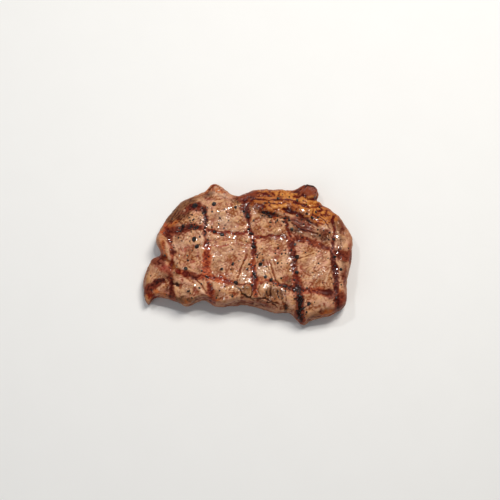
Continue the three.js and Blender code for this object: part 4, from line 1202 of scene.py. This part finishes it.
def surface_reader(meat):
    """A function that gives the height of the meat's top over places of the plan."""
    depsgraph = bpy.context.evaluated_depsgraph_get()
    depsgraph.update()
    shown = meat.evaluated_get(depsgraph)

    def read(xs, ys):
        heights = []
        for x, y in zip(xs, ys):
            start = Vector(((x - PLAN_MIDDLE[0]) * MM, (y - PLAN_MIDDLE[1]) * MM, RAY_START))
            hit, place, _, _ = shown.ray_cast(start, Vector((0, 0, -1)))
            landed = hit and place.z > LOWEST_LANDING
            heights.append(place.z / MM if landed else math.inf)
        return np.array(heights)

    return read


BEAD_TRIES = 3600
BEAD_SEGMENTS, BEAD_RINGS = 12, 8
BEAD_LIFT = 0.08  # mm above the meat
GRADE_REACH = 0.8  # mm to each side, for how the meat slopes under a drop
PEPPER_SEED, BEAD_SEED = 5, 23


def squashed_ball():
    """Points and faces of a ball of level rings, its poles closed by triangles."""
    polar = math.pi * np.arange(1, BEAD_RINGS) / BEAD_RINGS
    turn = 2 * math.pi * np.arange(BEAD_SEGMENTS) / BEAD_SEGMENTS
    rings = [
        np.column_stack([
            math.sin(p) * np.cos(turn), math.sin(p) * np.sin(turn), np.full(len(turn), math.cos(p)),
        ])
        for p in polar
    ]
    points = np.concatenate([[(0, 0, 1)], *rings, [(0, 0, -1)]])
    here = np.arange(BEAD_SEGMENTS)
    after = (here + 1) % BEAD_SEGMENTS
    last = len(points) - 1
    triangles = [np.column_stack([np.zeros_like(here), 1 + here, 1 + after])]
    for ring in range(BEAD_RINGS - 2):
        upper = 1 + ring * BEAD_SEGMENTS
        lower = upper + BEAD_SEGMENTS
        triangles.append(np.column_stack([upper + here, lower + here, lower + after]))
        triangles.append(np.column_stack([upper + here, lower + after, upper + after]))
    lowest = 1 + (BEAD_RINGS - 2) * BEAD_SEGMENTS
    triangles.append(np.column_stack([lowest + here, np.full_like(here, last), lowest + after]))
    return points, np.concatenate(triangles)


def fibre_heading(x, y):
    """The heading in degrees of the nearest patch of fibres."""
    return min(FIBRES, key=lambda patch: math.dist((x, y), patch[0]) / patch[1])[2]


def make_beads(plan, surface):
    """Flat drops of melted fat that lie on the meat, thickest where it is greasy."""
    draw = np.random.default_rng(BEAD_SEED)
    ball, faces = squashed_ball()
    places = np.array([
        plan_point(plan, 0.01 + 0.98 * share_of(i, 0), 0.01 + 0.98 * share_of(i, 1))
        for i in range(BEAD_TRIES)
    ])
    places = places + draw.normal(0, 1.0, (BEAD_TRIES, 2))
    greasy = blotches(places[:, 0], places[:, 1], GREASY)
    places = places[draw.uniform(size=BEAD_TRIES) < 0.05 + 0.5 * greasy**1.5]
    x, y = places.T
    brown = mark_fields(x, y)[1]
    cap = cap_share(x, y)
    height = surface(x, y)
    g = GRADE_REACH
    grade_x = (surface(x + g, y) - surface(x - g, y)) / (2 * g)
    grade_y = (surface(x, y + g) - surface(x, y - g)) / (2 * g)
    points, triangles, tones, caps = [], [], [], []
    count = 0
    for k in range(len(places)):
        if not math.isfinite(height[k] + grade_x[k] + grade_y[k]):
            continue
        long = 0.4 + 0.8 * draw.uniform() ** 1.6
        wide = long * draw.uniform(0.35, 0.8)
        shape = ball * (long, wide, draw.uniform(0.06, 0.12))
        shape[:, 2] = np.where(ball[:, 2] < 0, 0.3 * ball[:, 2], shape[:, 2])
        heading = math.radians(fibre_heading(x[k], y[k]) + draw.normal(0, 30))
        shape = shape @ spin(np.array([0, 0, heading])).T
        shape[:, 2] += grade_x[k] * shape[:, 0] + grade_y[k] * shape[:, 1]
        points.append(shape + (x[k], y[k], height[k] + BEAD_LIFT))
        triangles.append(faces + count)
        tones.append(np.full(len(ball), brown[k]))
        caps.append(np.full(len(ball), cap[k]))
        count += len(ball)
    piece = new_mesh(
        "fat_beads", to_scene(np.concatenate(points)), NO_QUADS, np.concatenate(triangles),
        {"tone": np.concatenate(tones), "cap": np.concatenate(caps)},
    )
    piece.data.shade_smooth()
    return piece


# ---------------------------------------------------------------------------
# Shaders as expressions
# ---------------------------------------------------------------------------

class Value:
    """A number that varies over a surface, with arithmetic that adds the nodes it needs."""

    def __init__(self, finish, socket):
        self.finish = finish
        self.socket = socket

    def _math(self, operation, first, second):
        return self.finish.node("ShaderNodeMath", {"operation": operation}, {0: first, 1: second})

    def __add__(self, other):
        return self._math("ADD", self, other)

    __radd__ = __add__

    def __mul__(self, other):
        return self._math("MULTIPLY", self, other)

    __rmul__ = __mul__

    def __sub__(self, other):
        return self._math("SUBTRACT", self, other)

    def __rsub__(self, other):
        return self._math("SUBTRACT", other, self)

    def under(self, other):
        return self._math("MINIMUM", self, other)

    def between(self, low, high):
        """0 below low, 1 above high, and a smooth rise from one to the other."""
        return self.finish.node(
            "ShaderNodeMapRange",
            {"interpolation_type": "SMOOTHSTEP"},
            {"Value": self, "From Min": low, "From Max": high},
        )


class Finish:
    """A material of this object, built up from expressions."""

    def __init__(self, name, **constants):
        self.material = bpy.data.materials.new(name)
        self.material.use_nodes = True
        self.tree = self.material.node_tree
        self.shader = next(n for n in self.tree.nodes if n.type == "BSDF_PRINCIPLED")
        for socket, value in constants.items():
            self.shader.inputs[socket.replace("_", " ")].default_value = value

    def node(self, kind, settings=None, sockets=None, output=0):
        """Any node: its type, its settings, then the values or links of its sockets."""
        made = self.tree.nodes.new(kind)
        for setting, value in (settings or {}).items():
            setattr(made, setting, value)
        for socket, value in (sockets or {}).items():
            if isinstance(value, Value):
                self.tree.links.new(value.socket, made.inputs[socket])
            else:
                made.inputs[socket].default_value = value
        return Value(self, made.outputs[output])

    def mask(self, name):
        return self.node("ShaderNodeAttribute", {"attribute_name": name}, output="Fac")

    def place(self):
        return self.node("ShaderNodeTexCoord", output="Object")

    def noise(self, size_mm, detail=3.0, roughness=0.55):
        """Noise from 0 to 1 with features of a size in millimetres."""
        return self.node(
            "ShaderNodeTexNoise",
            {"noise_dimensions": "3D"},
            {
                "Vector": self.place(), "Scale": 1 / (size_mm * MM),
                "Detail": detail, "Roughness": roughness,
            },
        )

    def mix(self, share, first, second):
        """The first colour, with a share of the second over it."""
        return self.node(
            "ShaderNodeMix",
            {"data_type": "RGBA", "blend_type": "MIX", "clamp_factor": True},
            {0: share, 6: first, 7: second},
            output=2,
        )

    def bump(self, height, distance_mm, strength=1.0):
        return self.node(
            "ShaderNodeBump", {},
            {"Height": height, "Distance": distance_mm * MM, "Strength": strength},
        )

    def feed(self, **sockets):
        for socket, value in sockets.items():
            self.tree.links.new(value.socket, self.shader.inputs[socket.replace("_", " ")])


# The greasy sheen lays this much white light over every colour of the meat.
SHEEN = 0.024


def seen(red, green, blue):
    """The shader's colour for meat that looks like this, from 0 to 255, under its sheen."""
    def channel(value):
        value /= 255
        value = value / 12.92 if value <= 0.04045 else ((value + 0.055) / 1.055) ** 2.4
        return max((value - SHEEN) / (1 - SHEEN), 0.1 * value)
    return (channel(red), channel(green), channel(blue), 1.0)


# The lighter and darker colour of each pair below are mixed partly by the ridge mask, as painted
# light on ridges and painted shade in creases, and partly by random tone.
TAN_LIGHT = seen(210, 162, 128)
TAN_DARK = seen(146, 88, 62)
SADDLE_LIGHT = seen(206, 154, 108)
SADDLE_DARK = seen(142, 88, 54)
PINK_LIGHT = seen(212, 154, 132)
PINK_DARK = seen(144, 76, 66)
ROAST = seen(118, 78, 56)
ROAST_DARK = seen(62, 36, 28)
OCHRE_TAN = seen(196, 148, 96)
REDDISH = seen(170, 88, 76)
CRIMSON = seen(148, 42, 50)
PALE_FAT_AND_SHEEN = seen(232, 196, 164)
WRINKLE_BROWN = seen(122, 50, 32)
PLUM_BROWN = seen(124, 64, 54)
PLUM_DARK = seen(72, 30, 32)
RUST_BRIGHT = seen(184, 104, 60)
RUST_DEEP = seen(118, 50, 30)
MARK_RUST = seen(196, 104, 70)
MARK_DEEP = seen(118, 48, 33)
CHAR_BLACK = seen(42, 30, 29)
CREVICE_BROWN = seen(48, 20, 16)
CAP_GOLD = seen(200, 134, 72)
CAP_AMBER = seen(172, 104, 62)
CAP_DARK = seen(98, 44, 32)
CAP_RED = seen(152, 76, 36)
SIDE_LIGHT = seen(136, 64, 44)
SIDE_DARK = seen(74, 18, 12)
SIDE_FOOT = seen(62, 22, 14)
SIDE_GREY = seen(146, 96, 76)
SIDE_GREY_DARK = seen(104, 62, 50)


def meat_finish():
    """The meat: bare panels, then walls, fat cap, stained places, grill marks and wet fat."""
    m = Finish(
        "seared_meat",
        Subsurface_Weight=0.08,
        Subsurface_Radius=(1.0, 0.4, 0.25),
        Subsurface_Scale=0.0015,
        Specular_IOR_Level=0.1,
        Coat_Roughness=0.05,
        Coat_IOR=1.9,
    )
    mottle = m.noise(3.0, 3.0, 0.65)
    grain = m.noise(1.1, 3.0, 0.65)
    dust = m.noise(0.4, 2.0, 0.5)
    ridge, hollow, layers = m.mask("ridge"), m.mask("hollow"), m.mask("layers")
    burn, rusty, char = m.mask("burn"), m.mask("rusty"), m.mask("char")
    cap, side, under, rim = m.mask("cap"), m.mask("side"), m.mask("under"), m.mask("rim")

    # The bare panels in drifts of three hues: peach on the lumps as painted light, red-brown in the
    # creases as painted shade, mixed with random tone.
    shade = (ridge * 1.0 + mottle * 0.15 + grain * 0.65).between(0.5, 1.35)
    colour = m.mix(shade, TAN_DARK, TAN_LIGHT)
    saddle = m.mix(shade, SADDLE_DARK, SADDLE_LIGHT)
    pink = m.mix(shade, PINK_DARK, PINK_LIGHT)
    colour = m.mix(m.noise(4.4, 2.0).between(0.45, 0.62) * 0.6, colour, saddle)
    colour = m.mix(m.noise(3.5, 2.0).between(0.48, 0.64) * 0.6, colour, pink)
    colour = m.mix(grain.between(0.58, 0.72) * (1 - ridge) * 0.6, colour, REDDISH)
    # Thin creases in red-brown: their own colour, deepened as painted shade in the creases.
    colour = m.mix(m.mask("wrinkle") * (mottle + 0.2).under(1.0) * 0.5, colour, WRINKLE_BROWN)
    ochre = (m.mask("ochre") * (mottle + 0.5)).under(1.0)
    colour = m.mix(ochre * 0.7, colour, m.mix(shade, SADDLE_DARK, OCHRE_TAN))
    # Pale fat, and painted sheen on the greasy patches where fat glistens.
    pale = (m.mask("pale") * (grain + 0.45)).under(1.0)
    colour = m.mix(pale * 0.75, colour, PALE_FAT_AND_SHEEN)
    blush = (m.mask("blush") * (mottle * 0.9 + 0.5)).between(0.1, 1.0)
    colour = m.mix(blush * 0.85, colour, m.mix(grain.between(0.35, 0.6), CRIMSON, REDDISH))

    # The wall, the edges and the underside are browned all over, lighter on ridges and darker in
    # creases as painted light and shade.
    wall_layers_shade_and_tone = (layers * 0.18 + ridge * 0.35 + grain * 0.45 + mottle * 0.5).between(0.3, 1.25)
    walls = m.mix(wall_layers_shade_and_tone, SIDE_DARK, SIDE_LIGHT)
    greyer = m.mask("middle") * (mottle * 0.8 + 0.3).under(1.0)
    walls = m.mix(greyer * 0.75, walls, m.mix(wall_layers_shade_and_tone, SIDE_GREY_DARK, SIDE_GREY))
    colour = m.mix(side * 0.92, colour, walls)
    colour = m.mix(under * 0.7, colour, m.mix(shade, SIDE_FOOT, SIDE_LIGHT))
    edged = (rim * 0.9 + (mottle - 0.5) * 0.8).between(0.1, 0.9)
    colour = m.mix(edged * 0.5, colour, m.mix(shade, RUST_DEEP, TAN_DARK))
    roasted = (m.mask("browned") * 1.5 + (mottle - 0.5) * 0.7).between(0.1, 0.8)
    roast = m.mix((ridge * 0.9 + grain * 0.3).between(0.3, 0.9), ROAST_DARK, ROAST)
    colour = m.mix(roasted * 0.85, colour, roast)

    # The fat cap: amber, with reddened drifts and gold where the fat is thickest, lighter on ridges
    # and darker in creases as painted light and shade.
    cap_shade_and_tone = (ridge * 0.6 + grain * 0.45 + mottle * 0.5).between(0.48, 1.1)
    golden = m.mix(cap_shade_and_tone, CAP_DARK, CAP_AMBER)
    reddened = (m.noise(3.4, 3.0, 0.6) * 1.4 + mottle * 0.6).between(0.95, 1.15)
    golden = m.mix(reddened * 0.75, golden, m.mix(cap_shade_and_tone, PLUM_DARK, CAP_RED))
    gilded = m.mask("gold") * 1.2 + (ridge - 0.5) * 0.7 + (mottle - 0.5) * 1.0
    golden = m.mix(gilded.between(0.2, 0.9) * 0.9, golden, m.mix(cap_shade_and_tone, CAP_RED, CAP_GOLD))
    colour = m.mix(cap * 0.95, colour, golden)

    # Plum and rust places, lighter on ridges and darker in creases as painted light and shade.
    plum = (m.mask("plum") * 1.3 + (mottle - 0.5) * 0.9).between(0.15, 0.85)
    plum_shade_and_tone = (ridge * 0.6 + grain * 0.5 + mottle * 0.4).between(0.5, 1.1)
    purple = m.mix(plum_shade_and_tone, PLUM_DARK, PLUM_BROWN)
    colour = m.mix(plum * 0.88, colour, purple)
    rust = (m.mask("rust") * 1.3 + (mottle - 0.5) * 0.9).between(0.15, 0.85)
    orange = m.mix((ridge * 0.6 + grain * 0.5).between(0.35, 0.85), RUST_DEEP, RUST_BRIGHT)
    colour = m.mix(rust * 0.85, colour, orange)

    # Grill marks, char and cracks. The rust of the marks is brighter on ridges and deeper in
    # creases as painted light and shade.
    pressed = (burn * 1.3 + (mottle - 0.5) * 0.5 + (grain - 0.5) * 0.35).between(0.15, 0.7)
    rusted = m.mix((grain * 0.7 + ridge * 0.6).between(0.3, 0.95), MARK_DEEP, MARK_RUST)
    colour = m.mix(pressed * 0.94, colour, m.mix(rusty, purple, rusted))
    # Painted shade: broad hollows in the marks, the cap and the wall are darkened to dark plum.
    hollow_shade_share = (burn * (1 - rusty * 0.7) + cap * 0.3 + side * 0.2).under(1.0)
    colour = m.mix(hollow * hollow_shade_share * 0.5, colour, PLUM_DARK)
    blackened = (char * 1.1 + (grain - 0.5) * 0.6 + (mottle - 0.5) * 0.5).between(0.42, 1.0)
    colour = m.mix(blackened * 0.86, colour, CHAR_BLACK)
    # Seams and cracks in dark brown: their own colour, deepened as painted shade in the grooves.
    cracked = (m.mask("crevice") + (grain - 0.5) * 0.4).between(0.25, 0.95)
    colour = m.mix(cracked * 0.85, colour, CREVICE_BROWN)

    # Fat glints in drops and films, thickest where it gathered.
    drops = m.noise(1.9, 1.0).between(0.46, 0.56)
    film = (m.mask("wet") * 1.1 + (m.noise(4.0, 2.0) - 0.5) * 1.2 + cap * 0.15).between(0.0, 0.9)
    wet = drops * film * (1 - side * 0.85)
    rough = 0.42 - film * 0.1 + (grain - 0.5) * 0.1 + side * 0.3
    height = (grain * 0.5 + dust * 0.1) * (1 - wet * 0.9)
    m.feed(
        Base_Color=colour,
        Roughness=rough,
        Coat_Weight=wet * 0.55 + film * 0.05,
        Normal=m.bump(height, 0.25, 0.75),
    )
    return m.material


def pepper_finish():
    m = Finish("cracked_pepper", Specular_IOR_Level=0.5)
    tone = m.mask("tone")
    grain = m.noise(0.4, 3.0, 0.6)
    colour = m.mix((tone * 0.8 + grain * 0.4).between(0.3, 1.1), seen(14, 13, 14), seen(52, 42, 38))
    m.feed(
        Base_Color=colour,
        Roughness=0.28 + grain * 0.25,
        Normal=m.bump(grain, 0.15, 0.6),
    )
    return m.material


def bead_finish():
    m = Finish(
        "melted_fat",
        IOR=1.9,
        Specular_IOR_Level=1.0,
        Coat_Weight=0.7,
        Coat_IOR=1.9,
        Coat_Roughness=0.03,
    )
    grain = m.noise(1.5, 2.0)
    colour = m.mix(grain.between(0.35, 0.65), seen(168, 112, 80), seen(202, 152, 118))
    colour = m.mix(m.mask("cap"), colour, seen(166, 100, 58))
    colour = m.mix(m.mask("tone").between(0.1, 0.8) * 0.9, colour, seen(104, 48, 38))
    m.feed(Base_Color=colour, Roughness=0.05 + grain * 0.06)
    return m.material


# ---------------------------------------------------------------------------
# Stage
# ---------------------------------------------------------------------------

def floor_finish():
    m = Finish("pale_floor", Specular_IOR_Level=0.2)
    grain = m.noise(30.0, 3.0)
    m.feed(
        Base_Color=m.mix(grain * 0.3, (0.86, 0.85, 0.83, 1), (0.78, 0.77, 0.75, 1)),
        Roughness=0.75 + grain * 0.1,
    )
    return m.material


def make_floor():
    half = 3.0  # metres
    mesh = bpy.data.meshes.new("floor")
    corners = [(-half, -half, 0), (half, -half, 0), (half, half, 0), (-half, half, 0)]
    mesh.from_pydata(corners, [], [(0, 1, 2, 3)])
    mesh.materials.append(floor_finish())
    floor = bpy.data.objects.new("floor", mesh)
    bpy.context.scene.collection.objects.link(floor)


def aim(thing, place, target):
    """Put a light or the camera at a place, looking at the target."""
    thing.location = place
    thing.rotation_euler = (Vector(target) - Vector(place)).to_track_quat("-Z", "Y").to_euler()


def make_lights():
    # name, place, size in metres, power in watts, colour
    lamps = [
        ("key_softbox", (0.35, 0.5, 0.95), 0.4, 8.0, (1.0, 0.97, 0.92)),
        ("fill_softbox", (-0.6, -0.6, 0.8), 0.8, 1.8, (0.95, 0.97, 1.0)),
        ("glint_near", (0.12, 0.3, 0.9), 0.06, 1.8, (1.0, 0.98, 0.95)),
        ("glint_far", (-0.3, 0.35, 0.8), 0.06, 1.2, (0.95, 0.98, 1.0)),
    ]
    for name, place, size, power, colour in lamps:
        light = bpy.data.lights.new(name, "AREA")
        light.shape = "DISK"
        light.size = size
        light.energy = power
        light.color = colour
        lamp = bpy.data.objects.new(name, light)
        bpy.context.scene.collection.objects.link(lamp)
        aim(lamp, place, (0, 0, 0.01))
    world = bpy.data.worlds.new("studio")
    world.use_nodes = True
    background = world.node_tree.nodes["Background"]
    background.inputs["Color"].default_value = (0.9, 0.94, 1.0, 1)
    background.inputs["Strength"].default_value = 0.17
    bpy.context.scene.world = world


PHOTO_WIDTH = 500  # pixels
PHOTO_SCALE = 0.678  # mm in the plan for each pixel
PHOTO_ELEVATION = 80.0
LENS = 85.0
LOOK_AT = (1.0, 2.7, 8.5)  # mm in the plan, and above the floor


def make_camera():
    camera = bpy.data.cameras.new("camera")
    camera.lens = LENS
    camera.sensor_width = 36.0
    eye = bpy.data.objects.new("camera", camera)
    bpy.context.scene.collection.objects.link(eye)
    distance = PHOTO_WIDTH * PHOTO_SCALE * MM * LENS / camera.sensor_width
    x, y = (LOOK_AT[:2] - PLAN_MIDDLE) * MM
    target = Vector((x, y, LOOK_AT[2] * MM))
    tilt = math.radians(PHOTO_ELEVATION)
    aim(eye, target + Vector((0, -math.cos(tilt), math.sin(tilt))) * distance, target)
    camera.clip_start = 0.01
    bpy.context.scene.camera = eye


def build():
    make_camera()
    plan = relaxed_plan(drawn_in(WALL[0][1], WALL[0][2]))
    meat = make_meat(plan)
    meat.data.materials.append(meat_finish())
    surface = surface_reader(meat)
    pepper = make_pepper(plan, surface)
    pepper.data.materials.append(pepper_finish())
    beads = make_beads(plan, surface)
    beads.data.materials.append(bead_finish())
    for piece, slot in ((meat, "meat"), (pepper, "pepper"), (beads, "fat")):
        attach(piece, "root")
    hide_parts("steak")
    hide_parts("steak")
    make_floor()
    make_lights()
    bpy.context.scene.view_settings.view_transform = "Standard"


build()
